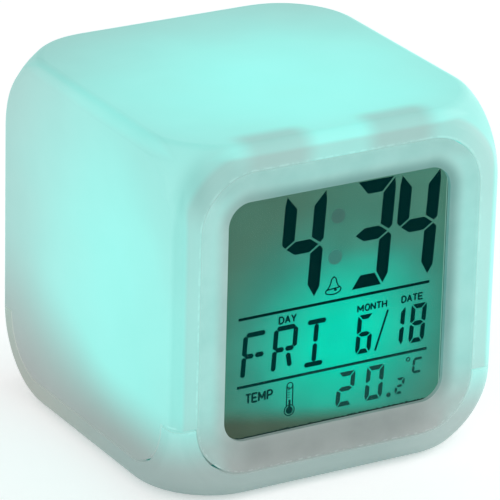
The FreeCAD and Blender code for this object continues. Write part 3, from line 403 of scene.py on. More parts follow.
# %% [markdown]
# ## A material with its place in millimetres
# Object coordinates are in metres. Each finish starts from them times a thousand, so every size in the
# node code below is a plain millimetre, as in the CAD.

# %% Material helper


def new_finish(name, base, roughness, **sockets):
    """A material with a Principled shader: the tree, the shader and the place in millimetres."""
    finish = bpy.data.materials.new(name)
    finish.use_nodes = True
    tree = finish.node_tree
    tree.nodes.clear()
    shader = add_node(tree, "ShaderNodeBsdfPrincipled")
    shader.inputs["Base Color"].default_value = (*base, 1.0)
    shader.inputs["Roughness"].default_value = roughness
    for label, value in sockets.items():
        shader.inputs[label.replace("_", " ")].default_value = value
    add_node(tree, "ShaderNodeOutputMaterial", {"Surface": shader.outputs[0]})
    coordinates = tree.nodes.new("ShaderNodeTexCoord").outputs["Object"]
    place = add_node(tree, "ShaderNodeVectorMath", {0: coordinates, "Scale": 1 / MM}, operation="SCALE")
    return finish, tree, shader, place.outputs["Vector"]


def add_bump(tree, shader, height, strength, depth):
    """A bump of so many millimetres on the shader's normal."""
    bump = add_node(tree, "ShaderNodeBump", {"Strength": strength, "Distance": depth * MM, "Height": height})
    tree.links.new(bump.outputs["Normal"], shader.inputs["Normal"])


def plug(tree, value, socket):
    tree.links.new(value, socket)


def scaled(tree, value, factor):
    """A colour times a value."""
    node = add_node(tree, "ShaderNodeVectorMath", {0: value, 1: factor}, operation="MULTIPLY")
    return node.outputs["Vector"]


def dress(finish, *names):
    """Give a finish to the material slots of CAD nodes."""
    for name in names:
        for place in cad[name].material_slots:
            place.material = finish


teal = (0.0, 0.56, 0.49)

# %% [markdown]
# ## The milky case
# The upper cover, the bezel and the tray are the same milky plastic. The cover also carries what shows
# through its front rim: two hooks of the bezel stand behind the top edge and shade it, so there the glow
# has two darker bars with bright light between them. A pale line, a painted highlight, follows the outline
# of the bezel where the rim was left a little sharp, and the seam to the tray has broken specks of flash.
# Light and shade are also painted into the base colours: painted shade along the creases, at the upper left
# of the front rim and along the front left edge, and painted light that makes the right side paler and the
# sides paler and warmer towards the back.

# %% Milky finishes
milk = (0.415, 0.435, 0.425)
# The pale colour of the seam flash, which also paints the highlights along the bezel's outline.
flash_and_highlight_colour, flash_share = (0.62, 0.70, 0.68), 0.40
bar_centres, bar_half = (-16.0, 14.0), 7.6
gap_light, gap_share = (0.155, 0.163, 0.16), (0.56, 0.56, 0.56)
# The middle of a painted shade, in glow and tone, at the upper left corner of the front rim.
shaded_corner = (-30.0, -40.0, 72.0)
# Painted light on the tray: a little cooler at the front, paler and warmer along the sides.
tray_cool, tray_lit_warm = (0.98, 1.06, 1.06), (1.10, 1.03, 0.97)
# Painted light: the left face grows paler and warmer towards the back.
lit_side_warm = (1.19, 1.06, 1.08)
right_face, right_dim = (38.6, 39.7), 0.80
left_face = (-38.4, -39.4)
milky_emission, milky_gloss, milky_coat, milky_coat_rough = 1.0, 0.1, 0.02, 0.30
milky_dust, milky_dust_share = (0.20, 0.26, 0.25), 0.55
flash_line, flash_breaks = (0.20, 0.18), (0.50, 0.68)


def milky_start(name, mottle=0.08):
    """The milky plastic itself: base colour with tone, dust and bump, ready for the glow."""
    finish, tree, shader, place = new_finish(name, milk, 0.36)
    shader.inputs["Emission Strength"].default_value = milky_emission
    shader.inputs["Specular IOR Level"].default_value = milky_gloss
    shader.inputs["Coat Weight"].default_value = milky_coat
    shader.inputs["Coat Roughness"].default_value = milky_coat_rough
    skin = use_group(tree, skin_group, {"Place": place, "Grain": 1.7, "Mottle": mottle})
    colour = scaled(tree, milk, skin["Tone"])
    dusty = calc(tree, "MULTIPLY", skin["Speck"], milky_dust_share)
    colour = mix_colour(tree, dusty, colour, milky_dust)
    add_bump(tree, shader, skin["Height"], 0.16, 0.05)
    glow = use_group(tree, glow_group, {"Place": place})["Glow"]
    return finish, tree, shader, place, colour, glow


def seam_flash(tree, place, level, colour, share=1.0):
    """Broken pale flash along a level seam."""
    z = split(tree, place)[2]
    line = pulse(tree, z, level, *flash_line)
    broken = remap(tree, noise(tree, place, 0.30, 2.0), *flash_breaks)
    share = product(tree, line, broken, share, flash_share)
    return mix_colour(tree, share, colour, flash_and_highlight_colour)


def light_up(tree, shader, place, colour, glow):
    """Plug in the colour and the light that comes through, which also fills the gaps."""
    normal = tree.nodes.new("ShaderNodeTexCoord").outputs["Normal"]
    gap = use_group(tree, gap_group, {"Place": place, "Normal": normal})["Gap"]
    light = scaled(tree, teal, glow)
    dimmed = scaled(tree, light, gap_share)
    filled = add_node(tree, "ShaderNodeVectorMath", {0: dimmed, 1: gap_light}, operation="ADD").outputs[0]
    plug(tree, colour, shader.inputs["Base Color"])
    plug(tree, mix_colour(tree, gap, light, filled), shader.inputs["Emission Color"])


def edge_measure(tree, place):
    """How near a place on the cube is to an edge: the second largest of its three distances out."""
    x, y, z = split(tree, place)
    a, b, c = [calc(tree, "ABSOLUTE", value) for value in (x, y, calc(tree, "SUBTRACT", z, middle))]
    smaller, larger = calc(tree, "MINIMUM", a, b), calc(tree, "MAXIMUM", a, b)
    return calc(tree, "MAXIMUM", smaller, calc(tree, "MINIMUM", larger, c))


# Where a part of the cover's look starts and is full, in millimetres, and how strong it is there.
band_range, band_glow = (37.0, 38.6), 1.10
# Painted shade along the creases where the flat faces meet the rounded edges, away from the front.
crease_edge, crease_run, crease_shade_tone = 36.9, (-36.0, -26.0), 0.94
front_face, front_core, front_glow = (-38.7, -39.8), (38.3, 37.2), 0.70
bar_soft, bar_deep, bar_high, bar_levels = 3.0, (-31.5, -36.0), (72.0, 76.5), (1.06, 0.60)
# Painted shade at the upper left corner of the front rim: less glow and a darker tone.
corner_reach, corner_glow, corner_shade_tone = (11.0, 4.0), 0.74, 0.90
# Painted light: the right part of the front rim and the edges on the right are paler, where the lamp on the
# right falls, with a little less glow.
bright_front, bright_band, bright_band_share = (24.0, 36.0), (20.0, 34.0), 0.85
bright_glow, lit_right_tone = 0.84, 1.24
# Painted shade: a darker patch at the upper left of the front rim.
left_top_shade_tone, left_top_range = 0.85, ((-31.0, -36.0), (66.0, 73.0), (-35.0, -38.0))
warm_run = (-24.0, 34.0)
# Painted shadow of the corner post inside, along the front left edge, in both glow and tone.
post_run, post_glow, post_shadow_tone = (-33.0, -37.5), 0.87, 0.84
# Painted highlight: a broken pale line along the outline of the bezel, on the front rim.
rim_line, rim_face, rim_breaks, rim_highlight_share = (0.45, 0.20, 0.18), (-39.2, -39.7), (0.42, 0.56), 0.30
cover_seam, cover_seam_posts = 19.8, (33.6, 34.4)


def make_cover_finish():
    finish, tree, shader, place, colour, glow = milky_start("Milky cover")
    x, y, z = split(tree, place)
    edge = edge_measure(tree, place)
    band = remap(tree, edge, *band_range)
    # Painted shade along the creases, away from the front.
    crease = calc(tree, "MULTIPLY", pulse(tree, edge, crease_edge, 0.15, 0.35), remap(tree, y, *crease_run))
    front = calc(tree, "MULTIPLY", remap(tree, y, *front_face), remap(tree, edge, *front_core))
    bars = calc(tree, "ADD", *[pulse(tree, x, centre, bar_half, bar_soft) for centre in bar_centres])
    bars = product(tree, bars, remap(tree, y, *bar_deep), remap(tree, z, *bar_high))
    # Painted shade around the upper left corner of the front rim.
    away = add_node(tree, "ShaderNodeVectorMath", {0: place, 1: shaded_corner}, operation="DISTANCE")
    corner = remap(tree, away.outputs["Value"], *corner_reach)
    # Painted light on the right of the front rim and on the edges on the right.
    lit_right_side = calc(tree, "MULTIPLY", remap(tree, x, *bright_front), front)
    lit_right_side = calc(tree, "MAXIMUM", lit_right_side,
                       product(tree, remap(tree, x, *bright_band), band, bright_band_share))
    # Painted shade at the upper left of the front rim.
    shaded_left_top = product(tree, *[remap(tree, value, *ends) for value, ends in zip((x, z, y), left_top_range)])
    lit_warm_side = calc(tree, "MULTIPLY", remap(tree, y, *warm_run), remap(tree, x, *left_face))
    # Painted shadow of the corner post along the front left edge.
    post = product(tree, band, remap(tree, x, *post_run), remap(tree, y, *post_run))
    bar_light = remap(tree, bars, 0.0, 1.0, *bar_levels, False)
    glow = product(tree, glow, fade(tree, remap(tree, x, *right_face), right_dim),
                   fade(tree, front, front_glow), bar_light, fade(tree, post, post_glow),
                   fade(tree, corner, corner_glow), fade(tree, lit_right_side, bright_glow),
                   fade(tree, band, band_glow))
    # The tone is painted shade and light: darker along the creases, at the upper left of the front rim and
    # along the front left edge, paler on the right.
    tone = product(tree, fade(tree, crease, crease_shade_tone), fade(tree, corner, corner_shade_tone),
                   fade(tree, lit_right_side, lit_right_tone), fade(tree, post, post_shadow_tone),
                   fade(tree, shaded_left_top, left_top_shade_tone))
    # Painted light: the left face paler and warmer towards the back.
    colour = mix_colour(tree, lit_warm_side, scaled(tree, colour, tone), scaled(tree, colour, lit_side_warm))
    # Painted highlight: a broken pale line along the bezel's outline on the front rim.
    broken = remap(tree, noise(tree, place, 0.5, 2.0), *rim_breaks)
    rim = pulse(tree, panel_distance(tree, place), *rim_line)
    line = product(tree, rim, remap(tree, y, *rim_face), broken, rim_highlight_share)
    colour = mix_colour(tree, line, colour, flash_and_highlight_colour)
    colour = seam_flash(tree, place, cover_seam, colour, remap(tree, edge, *cover_seam_posts))
    light_up(tree, shader, place, colour, glow)
    return finish


# The same for the bezel, with painted shade next to the window at its top and right, along its bottom
# middle and along its top, painted light at its lower right, and a painted highlight along its outer edge.
window_half, window_round = 27.3, 5.2
bezel_near, bezel_diagonal, window_shade_tone = (3.4, 0.3), (-14.0, 20.0), 0.52
bezel_band, bezel_band_levels = (0.2, 4.2), (0.32, 0.63)
low_middle_glow, low_middle_shade_tone, low_ends_glow, low_right_lit_tone = 0.45, 0.80, 0.34, 1.16
bezel_top, bezel_top_glow, bezel_top_shade_tone = (68.0, 72.0), 0.84, 0.92
bezel_edge_highlight, bezel_highlight_breaks = (-0.25, 0.15, 0.12), (0.45, 0.58)


def make_bezel_finish():
    finish, tree, shader, place, colour, glow = milky_start("Milky bezel", 0.10)
    x, y, z = split(tree, place)
    side = calc(tree, "ABSOLUTE", x)
    window = use_group(tree, outline_group, {"Place": place, "Half": window_half,
                                             "Radius": window_round})["Distance"]
    diagonal = calc(tree, "ADD", x, calc(tree, "SUBTRACT", z, middle))
    # Painted shade next to the window, strongest at its top and right.
    window_shade = product(tree, remap(tree, window, *bezel_near), remap(tree, diagonal, *bezel_diagonal))
    # Painted shade along the bottom middle of the bezel, in glow and tone.
    shaded_low_middle = product(tree, remap(tree, z, 17.0, 11.5), remap(tree, side, 31.0, 18.0),
                         remap(tree, z, 5.5, 10.5, 0.35, 1.0))
    low_ends = calc(tree, "MULTIPLY", remap(tree, z, 18.0, 13.5), remap(tree, side, 22.0, 31.0))
    # Painted light: the lower right of the bezel is paler.
    lit_low_right = calc(tree, "MULTIPLY", remap(tree, z, 22.0, 12.0), remap(tree, x, 12.0, 31.0))
    # Painted shade along the top of the bezel, in glow and tone.
    top = remap(tree, z, *bezel_top)
    glow = calc(tree, "MAXIMUM", glow, calc(tree, "MULTIPLY", low_ends, low_ends_glow))
    band = remap(tree, window, *bezel_band, *bezel_band_levels)
    glow = product(tree, glow, band, fade(tree, shaded_low_middle, low_middle_glow), fade(tree, top, bezel_top_glow))
    cloud = remap(tree, noise(tree, place, 0.16, 3.0), 0.35, 0.65, 0.95, 1.05, False)
    tone = product(tree, cloud, fade(tree, window_shade, window_shade_tone),
                   fade(tree, shaded_low_middle, low_middle_shade_tone), fade(tree, lit_low_right, low_right_lit_tone),
                   fade(tree, top, bezel_top_shade_tone))
    colour = scaled(tree, colour, tone)
    # Painted highlight: a broken pale line just inside the bezel's outline, stronger towards the bottom.
    edge = panel_distance(tree, place)
    broken = remap(tree, noise(tree, place, 0.8, 2.0), *bezel_highlight_breaks)
    line = product(tree, pulse(tree, edge, *bezel_edge_highlight), remap(tree, z, 22.0, 12.0, 0.06, 0.4), broken)
    colour = mix_colour(tree, line, colour, flash_and_highlight_colour)
    light_up(tree, shader, place, colour, glow)
    return finish


# The same for the tray and its door, with painted light: paler and warmer from the front towards the back,
# less so on the back face, and paler still towards the right.
tray_warm_run, tray_warm_end, tray_side_lit_tone = (-25.0, 28.0), (37.0, 39.8), 1.10
tray_right, tray_right_lit_tone = (8.0, 34.0), 1.26
tray_seam, no_seam = 18.5, -5.0


def make_tray_finish(name, level):
    finish, tree, shader, place, colour, glow = milky_start(name)
    x, y, z = split(tree, place)
    # Painted light: paler and warmer from the front towards the back, and paler towards the right.
    warm = calc(tree, "MULTIPLY", remap(tree, y, *tray_warm_run), remap(tree, y, *tray_warm_end, 1.0, 0.35))
    glow = calc(tree, "MULTIPLY", glow, fade(tree, remap(tree, x, *right_face), right_dim))
    tray_lit_right = remap(tree, x, *tray_right)
    tone = calc(tree, "MULTIPLY", fade(tree, warm, tray_side_lit_tone), fade(tree, tray_lit_right, tray_right_lit_tone))
    colour = mix_colour(tree, warm, scaled(tree, colour, tray_cool), scaled(tree, colour, tray_lit_warm))
    colour = seam_flash(tree, place, level, scaled(tree, colour, tone))
    light_up(tree, shader, place, colour, glow)
    return finish


dress(make_cover_finish(), "upper_cover")
dress(make_bezel_finish(), "front_bezel")
dress(make_tray_finish("Milky tray", tray_seam), "base_tray")
dress(make_tray_finish("Milky door", no_seam), "battery_door")

# %% [markdown]
# ## The display
# The lit field behind the segments is painted on the rear glass: bright teal where the lamps stand
# behind it, and a dull grey green near its edges, with a brownish wedge at the lower left where hardly
# any light arrives. The front glass is real glass, so it mirrors the studio a little.

# %% Display finishes
field_dull, field_mid, field_bright = (0.066, 0.165, 0.118), (0.034, 0.275, 0.21), (0.0, 0.64, 0.445)
field_brown, field_upper = (0.064, 0.076, 0.050), (0.062, 0.215, 0.158)
field_centre, field_reach = (2.5, 32.0), (25.0, 23.0)
ink_big, ink_date, ink_heat = (0.0, 0.016, 0.0155), (0.0, 0.026, 0.024), (0.008, 0.062, 0.052)
ink_faint, ink_low_dot = (0.054, 0.152, 0.126), (0.047, 0.205, 0.170)
field_outer_reach, field_inner_reach = (1.55, 0.75), (1.05, 0.15)
upper_across, upper_high, upper_share = (-10.0, 4.0), (48.0, 54.0), 0.6
wedge_slope, wedge_reach, wedge_share = 0.16, (17.5, 12.0), 0.85
rim_bottom, rim_side, rim_dark = (13.45, 13.20), (28.15, 0.24, 0.10), (0.012, 0.030, 0.026)
# Painted highlight: a pale sliver of light near the right edge of the window.
window_edge_highlight_line, window_edge_highlight = (27.70, 0.08, 0.08), (0.22, 0.42, 0.36)
date_rule, heat_rule, heat_across, heat_share = (40.5, 39.5), (25.6, 24.6), (-8.0, -7.0), 0.3
colon_across, colon_high, dot_split = (0.42, 2.6, 0.1), (47.5, 48.0), (56.5, 55.5)
glass_index, glass_smear = 1.08, 0.03


def make_field_finish():
    finish, tree, shader, place = new_finish("Lit liquid crystal field", (0.001, 0.008, 0.007), 0.5,
                                             Specular_IOR_Level=0.0)
    shader.inputs["Emission Strength"].default_value = 1.0
    x, y, z = split(tree, place)
    wide = calc(tree, "DIVIDE", calc(tree, "SUBTRACT", x, field_centre[0]), field_reach[0])
    tall = calc(tree, "DIVIDE", calc(tree, "SUBTRACT", z, field_centre[1]), field_reach[1])
    square = calc(tree, "ADD", calc(tree, "POWER", calc(tree, "ABSOLUTE", wide), 2.0),
                  calc(tree, "POWER", calc(tree, "ABSOLUTE", tall), 2.0))
    away = calc(tree, "SQRT", square)
    outer = mix_colour(tree, remap(tree, away, *field_outer_reach), field_dull, field_mid)
    colour = mix_colour(tree, remap(tree, away, *field_inner_reach), outer, field_bright)
    upper = calc(tree, "MULTIPLY", remap(tree, x, *upper_across, 0.0, upper_share),
                 remap(tree, z, *upper_high))
    colour = mix_colour(tree, upper, colour, field_upper)
    wedge = calc(tree, "ADD", calc(tree, "MULTIPLY", x, wedge_slope), z)
    colour = mix_colour(tree, remap(tree, wedge, *wedge_reach, 0.0, wedge_share), colour, field_brown)
    cloud = wander(tree, place, 0.12, 2.0, 0.93, 1.07)
    colour = scaled(tree, colour, cloud)
    ragged = calc(tree, "ADD", z, wander(tree, place, 1.6, 1.0, -0.16, 0.16))
    bottom = remap(tree, ragged, *rim_bottom)
    side = pulse(tree, x, *rim_side)
    colour = mix_colour(tree, calc(tree, "MAXIMUM", bottom, side), colour, rim_dark)
    # Painted highlight near the window's right edge.
    colour = mix_colour(tree, pulse(tree, x, *window_edge_highlight_line), colour, window_edge_highlight)
    plug(tree, colour, shader.inputs["Emission Color"])
    return finish


# The segments are painted as emission: painted light, the backlight seen faintly through them.
def make_ink_finish():
    finish, tree, shader, place = new_finish("Dark segments", (0.001, 0.006, 0.006), 0.5,
                                             Specular_IOR_Level=0.05)
    shader.inputs["Emission Strength"].default_value = 1.0
    x, y, z = split(tree, place)
    grain = wander(tree, place, 3.0, 2.0, 0.92, 1.08)
    colour = mix_colour(tree, remap(tree, z, *date_rule), ink_big, ink_date)
    faint = calc(tree, "MULTIPLY", remap(tree, z, *heat_rule), remap(tree, x, *heat_across, heat_share, 1.0))
    colour = mix_colour(tree, faint, colour, ink_heat)
    colon = calc(tree, "MULTIPLY", pulse(tree, x, *colon_across), remap(tree, z, *colon_high))
    dot = mix_colour(tree, remap(tree, z, *dot_split), ink_faint, ink_low_dot)
    colour = mix_colour(tree, colon, colour, dot)
    plug(tree, scaled(tree, colour, grain), shader.inputs["Emission Color"])
    return finish


def make_glass_finish(name):
    finish, tree, shader, place = new_finish(name, (0.97, 0.99, 0.98), 0.02)
    shader.inputs["Transmission Weight"].default_value = 1.0
    shader.inputs["IOR"].default_value = glass_index
    shader.inputs["Specular IOR Level"].default_value = 0.0
    smear = remap(tree, noise(tree, place, 0.12, 3.0), 0.35, 0.7, 0.0, glass_smear)
    plug(tree, smear, shader.inputs["Roughness"])
    return finish


ink = make_ink_finish()
dress(make_field_finish(), "lcd_rear_glass")
dress(make_glass_finish("Front glass"), "lcd_front_glass")
dress(ink, "lcd_digits")

# %% [markdown]
# ## Words, letters and small signs on the display
# The CAD has the digits and the rules. The small lettering is drawn here, as thin plates in the same
# layer. Every letter is a few bars with pointed ends, listed as strokes in a box one wide and one high.
# All of it is made flat first, then moved into the ink layer and given its thickness.

# %% Lettering helpers
ink_front, ink_back = -37.0, -36.9
slant = 0.063
nose_share = 0.7


def finish_plate(form, name):
    """Give flat faces in x and z the thickness of the ink layer and make them a piece of the display."""
    bmesh.ops.remove_doubles(form, verts=form.verts, dist=0.0005)
    grown = bmesh.ops.extrude_face_region(form, geom=form.faces[:])
    moved = [item for item in grown["geom"] if isinstance(item, bmesh.types.BMVert)]
    bmesh.ops.translate(form, verts=moved, vec=(0, ink_back - ink_front, 0))
    bmesh.ops.recalc_face_normals(form, faces=form.faces[:])
    bmesh.ops.scale(form, verts=form.verts[:], vec=(MM, MM, MM))
    mesh = bpy.data.meshes.new(name)
    form.to_mesh(mesh)
    form.free()
    mesh.materials.append(ink)
    piece = bpy.data.objects.new(name, mesh)
    bpy.context.scene.collection.objects.link(piece)
    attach(piece, "chassis")
    print(name, len(mesh.polygons), "faces")
    return piece


def add_bar(form, start, end, width, gap=0.12):
    """A bar with pointed ends from one place to another, each given as x and height above the tray."""
    a, b = Vector((start[0], start[1])), Vector((end[0], end[1]))
    along = (b - a).normalized()
    aside = Vector((-along.y, along.x)) * width / 2
    a, b = a + along * gap, b - along * gap
    nose = along * width / 2 * nose_share
    corners = [a, a + nose + aside, b - nose + aside, b, b - nose - aside, a + nose - aside]
    form.faces.new([form.verts.new((corner.x, ink_front, corner.y + lift)) for corner in corners])


def add_disc(form, centre, radius, hole=0.0, steps=24):
    """A round dot, or a ring where it has a hole."""
    turn = Matrix.Translation((centre[0], ink_front, centre[1] + lift)) @ Matrix.Rotation(math.pi / 2, 4, "X")
    if not hole:
        bmesh.ops.create_circle(form, cap_ends=True, segments=steps, radius=radius, matrix=turn)
        return
    loops = []
    for size in (radius, hole):
        made = bmesh.ops.create_circle(form, cap_ends=False, segments=steps, radius=size, matrix=turn)
        loops += list({edge for vert in made["verts"] for edge in vert.link_edges})
    bmesh.ops.bridge_loops(form, edges=loops)


# %% Lettering on the display
STROKES = {
    "A": ((0, 0, .5, 1), (.5, 1, 1, 0), (.2, .34, .8, .34)),
    "D": ((0, 0, 0, 1), (0, 1, .6, 1), (.6, 1, 1, .72), (1, .72, 1, .28), (1, .28, .6, 0), (.6, 0, 0, 0)),
    "E": ((0, 0, 0, 1), (0, 1, 1, 1), (0, .5, .85, .5), (0, 0, 1, 0)),
    "H": ((0, 0, 0, 1), (1, 0, 1, 1), (0, .5, 1, .5)),
    "M": ((0, 0, 0, 1), (0, 1, .5, .25), (.5, .25, 1, 1), (1, 1, 1, 0)),
    "N": ((0, 0, 0, 1), (0, 1, 1, 0), (1, 0, 1, 1)),
    "O": ((.3, 0, .7, 0), (.7, 0, 1, .3), (1, .3, 1, .7), (1, .7, .7, 1), (.7, 1, .3, 1), (.3, 1, 0, .7),
          (0, .7, 0, .3), (0, .3, .3, 0)),
    "P": ((0, 0, 0, 1), (0, 1, .7, 1), (.7, 1, 1, .85), (1, .85, 1, .6), (1, .6, .7, .45), (.7, .45, 0, .45)),
    "T": ((0, 1, 1, 1), (.5, 0, .5, 1)),
    "Y": ((0, 1, .5, .45), (1, 1, .5, .45), (.5, 0, .5, .45))}
WIDE = {"M": 1.3, "T": 0.95}
spacing = 0.70        # a letter's share of its cell, the rest is the space after it
WORDS = (("DAY", (-13.2, -9.1), (37.2, 38.7), 0.36), ("MONTH", (6.3, 13.5), (36.2, 37.6), 0.34),
         ("DATE", (17.4, 22.6), (36.3, 37.7), 0.34), ("TEMP", (-20.9, -14.5), (20.35, 22.3), 0.44))
BLOCKS = {
    "F": ((0, 0, 0, .5), (0, .5, 0, 1), (0, 1, 1, 1), (0, .5, .5, .5), (.5, .5, 1, .5)),
    "R": ((0, 0, 0, .5), (0, .5, 0, 1), (0, 1, 1, 1), (1, .5, 1, 1), (0, .5, .5, .5), (.5, .5, 1, .5),
          (.68, .41, .85, .05)),
    "I": ((0, 1, 1, 1), (0, 0, 1, 0), (.5, .04, .5, .5), (.5, .5, .5, .96))}
WEEKDAY = (("F", -21.95, 4.95), ("R", -14.45, 4.85), ("I", -6.9, 4.9))
weekday_low, weekday_high, weekday_stroke = 26.3, 36.05, 1.1


def draw_letter(form, strokes, left, low, width, tall, stroke, lean=0.0, gap=0.0):
    """The strokes of one letter in a box of its own size."""
    for x0, z0, x1, z1 in strokes:
        ends = [(left + width * u + lean * tall * w, low + tall * w) for u, w in ((x0, z0), (x1, z1))]
        add_bar(form, *ends, stroke, gap)


def make_words():
    form = bmesh.new()
    for word, x, z, stroke in WORDS:
        widths = [WIDE.get(letter, 1.0) for letter in word]
        unit = (x[1] - x[0]) / (sum(widths) - (1.0 - spacing) * widths[-1])
        left = x[0]
        for letter, width in zip(word, widths):
            size = (unit * width * spacing, z[1] - z[0])
            draw_letter(form, STROKES[letter], left, z[0], *size, stroke, 0.0, -0.3 * stroke)
            left += unit * width
    return finish_plate(form, "lcd_words")


def make_weekday():
    form = bmesh.new()
    tall = weekday_high - weekday_low
    for letter, left, width in WEEKDAY:
        draw_letter(form, BLOCKS[letter], left, weekday_low, width, tall, weekday_stroke, slant, 0.12)
    return finish_plate(form, "lcd_weekday")


def make_signs():
    """Slash, degree sign, letter C and thermometer."""
    form = bmesh.new()
    add_bar(form, (11.0, 26.25), (13.95, 35.4), 0.45, 0.0)
    add_disc(form, (19.6, 22.55), 0.55, 0.30)
    for start, end in (((21.15, 22.3), (23.2, 22.3)), ((21.05, 20.75), (21.2, 22.3)),
                       ((20.95, 19.2), (21.05, 20.75)), ((20.95, 19.2), (22.95, 19.2))):
        add_bar(form, start, end, 0.6, 0.04)
    add_disc(form, (-10.1, 16.6), 1.35, 1.12)
    add_disc(form, (-10.1, 16.6), 0.85)
    for x in (-10.85, -9.35):
        add_bar(form, (x, 17.6), (x, 22.5), 0.24, 0.0)
    add_bar(form, (-10.1, 17.2), (-10.1, 19.1), 0.5, 0.0)
    add_disc(form, (-10.1, 22.35), 0.82, 0.60)
    for z in (19.6, 20.2, 20.8, 21.4, 22.0):
        add_bar(form, (-10.6, z), (-10.1, z), 0.16, 0.0)
    return finish_plate(form, "lcd_signs")


def make_bell():
    form = bmesh.new()
    outline = ((-2.0, 42.45), (-1.2, 43.2), (-0.75, 44.1), (-0.55, 45.1), (0.05, 45.6), (0.6, 45.1),
               (0.75, 44.2), (1.15, 43.4), (1.9, 42.75), (1.65, 42.05), (0.9, 41.7), (0.0, 41.55),
               (-1.0, 41.65), (-1.8, 41.95))
    for start, end in zip(outline, outline[1:] + outline[:1]):
        add_bar(form, start, end, 0.26, -0.06)
    add_bar(form, (-1.6, 42.75), (1.55, 43.0), 0.26, -0.06)
    add_bar(form, (0.1, 42.5), (0.85, 42.55), 0.5, 0.0)
    return finish_plate(form, "lcd_bell")


for make in (make_words, make_weekday, make_signs, make_bell):
    make()

# %% [markdown]
# ## Plain plastics, rubber and paper
# The pieces behind the case are seen when it is opened, through the sound holes and round the buttons.
# Each has the plain finish of its kind, all from the same moulded skin group with other values.

# %% Plain finishes


def make_plain_finish(name, colour, roughness, grain=1.6, mottle=0.10, depth=0.04, dust=(0.30, 0.30, 0.29)):
    finish, tree, shader, place = new_finish(name, colour, roughness)
    skin = use_group(tree, skin_group, {"Place": place, "Grain": grain, "Mottle": mottle})
    toned = scaled(tree, colour, skin["Tone"])
    toned = mix_colour(tree, calc(tree, "MULTIPLY", skin["Speck"], 0.5), toned, dust)
    plug(tree, toned, shader.inputs["Base Color"])
    rough = remap(tree, skin["Height"], 0.5, 1.1, roughness - 0.05, min(roughness + 0.08, 1.0), False)
    plug(tree, rough, shader.inputs["Roughness"])
    add_bump(tree, shader, skin["Height"], 0.25, depth)
    return finish


CORNERS = ("front_left", "back_left", "front_right", "back_right")
numbered = ("1", "2", "3", "4")
dress(make_plain_finish("Soft grey rubber", (0.30, 0.31, 0.31), 0.75, 2.5, 0.15, 0.08),
      *["foot_" + corner for corner in CORNERS])
dress(make_plain_finish("Pale grey button plastic", (0.52, 0.54, 0.54), 0.42),
      "light_slider", *["button_" + n for n in numbered])
dress(make_plain_finish("White inner plastic", (0.66, 0.67, 0.66), 0.5), "display_holder", "rear_bracket")
dress(make_plain_finish("Black switch plastic", (0.035, 0.035, 0.038), 0.45),
      "talk_key", "light_switch", "capacitor", *["button_switch_" + n for n in numbered])
dress(make_plain_finish("Black resin", (0.018, 0.018, 0.020), 0.22, 0.8, 0.2, 0.06), "controller_blob")
dress(make_plain_finish("Black moulded chip", (0.030, 0.030, 0.032), 0.6, 3.0, 0.2, 0.03), "voice_chip")
dress(make_plain_finish("Black bead", (0.025, 0.025, 0.025), 0.4), "temperature_sensor")
dress(make_plain_finish("Pressed black paper", (0.045, 0.043, 0.042), 0.9, 1.2, 0.3, 0.15), "speaker_cone")
dress(make_plain_finish("Red lead", (0.42, 0.022, 0.018), 0.45, 2.0, 0.15, 0.03),
      "battery_lead_red", "speaker_lead_red")
dress(make_plain_finish("Black lead", (0.022, 0.022, 0.024), 0.45, 2.0, 0.15, 0.03),
      "battery_lead_black", "speaker_lead_black")
dress(make_plain_finish("Milky light plate", (0.60, 0.70, 0.68), 0.5), "backlight_diffuser")

# %% [markdown]
# ## Metal
# Plated steel is bright but never even: fine scratches run along it and the plating is a little cloudy.
# The scratches are noise that has been stretched along one axis with a Mapping node.

# %% Metal finishes


def make_metal_finish(name, colour, roughness, stretch=(0.15, 1.0, 1.0)):
    finish, tree, shader, place = new_finish(name, colour, roughness, Metallic=1.0)
    run = add_node(tree, "ShaderNodeMapping", {"Vector": place, "Scale": stretch}).outputs[0]
    scratch = noise(tree, run, 6.0, 3.0, 0.6)
    cloud = wander(tree, place, 0.8, 2.0, 0.88, 1.08)
    plug(tree, scaled(tree, colour, cloud), shader.inputs["Base Color"])
    plug(tree, remap(tree, scratch, 0.3, 0.7, roughness - 0.08, roughness + 0.14, False),
         shader.inputs["Roughness"])
    add_bump(tree, shader, scratch, 0.3, 0.02)
    return finish


dress(make_metal_finish("Plated screw steel", (0.56, 0.57, 0.58), 0.28),
      "cover_screws", "floor_screws", "board_screws", "crystal")
dress(make_metal_finish("Nickel contact spring", (0.62, 0.60, 0.56), 0.22, (1.0, 1.0, 0.15)),
      "battery_terminal_left", "battery_terminal_right", "battery_link_front", "battery_link_back_left",
      "battery_link_back_right", *["return_spring_" + corner for corner in CORNERS])
dress(make_metal_finish("Zinc plated iron", (0.42, 0.42, 0.44), 0.4, (1.0, 0.2, 1.0)),
      "speaker_basket", "speaker_magnet")

# %% [markdown]
# ## Cells, boards and lamps
# The cells wear a printed film with a paler band at one end, and show bare steel at both ends. The
# boards are glass fibre with copper tracks under green lacquer, drawn by a brick pattern. The contact
# strip is striped rubber. The lamps are clear resin, lit faintly teal.

# %% Cells, boards, contact strip and lamps
jacket, jacket_band, can_steel = (0.030, 0.085, 0.105), (0.52, 0.53, 0.52), (0.60, 0.60, 0.60)
jacket_end, band_start, band_end = 21.0, 13.0, 17.5
cell_shift, jacket_edge, scuff_pale = 0.5, 0.05, (0.16, 0.20, 0.21)
lacquer_low, lacquer_high = (0.012, 0.085, 0.035), (0.045, 0.19, 0.075)
strip_black, strip_pale = (0.03, 0.03, 0.03), (0.36, 0.33, 0.30)
resin_light, resin_range, resin_levels = (0.05, 0.9, 0.8), (17.0, 24.0), (0.25, 0.9)


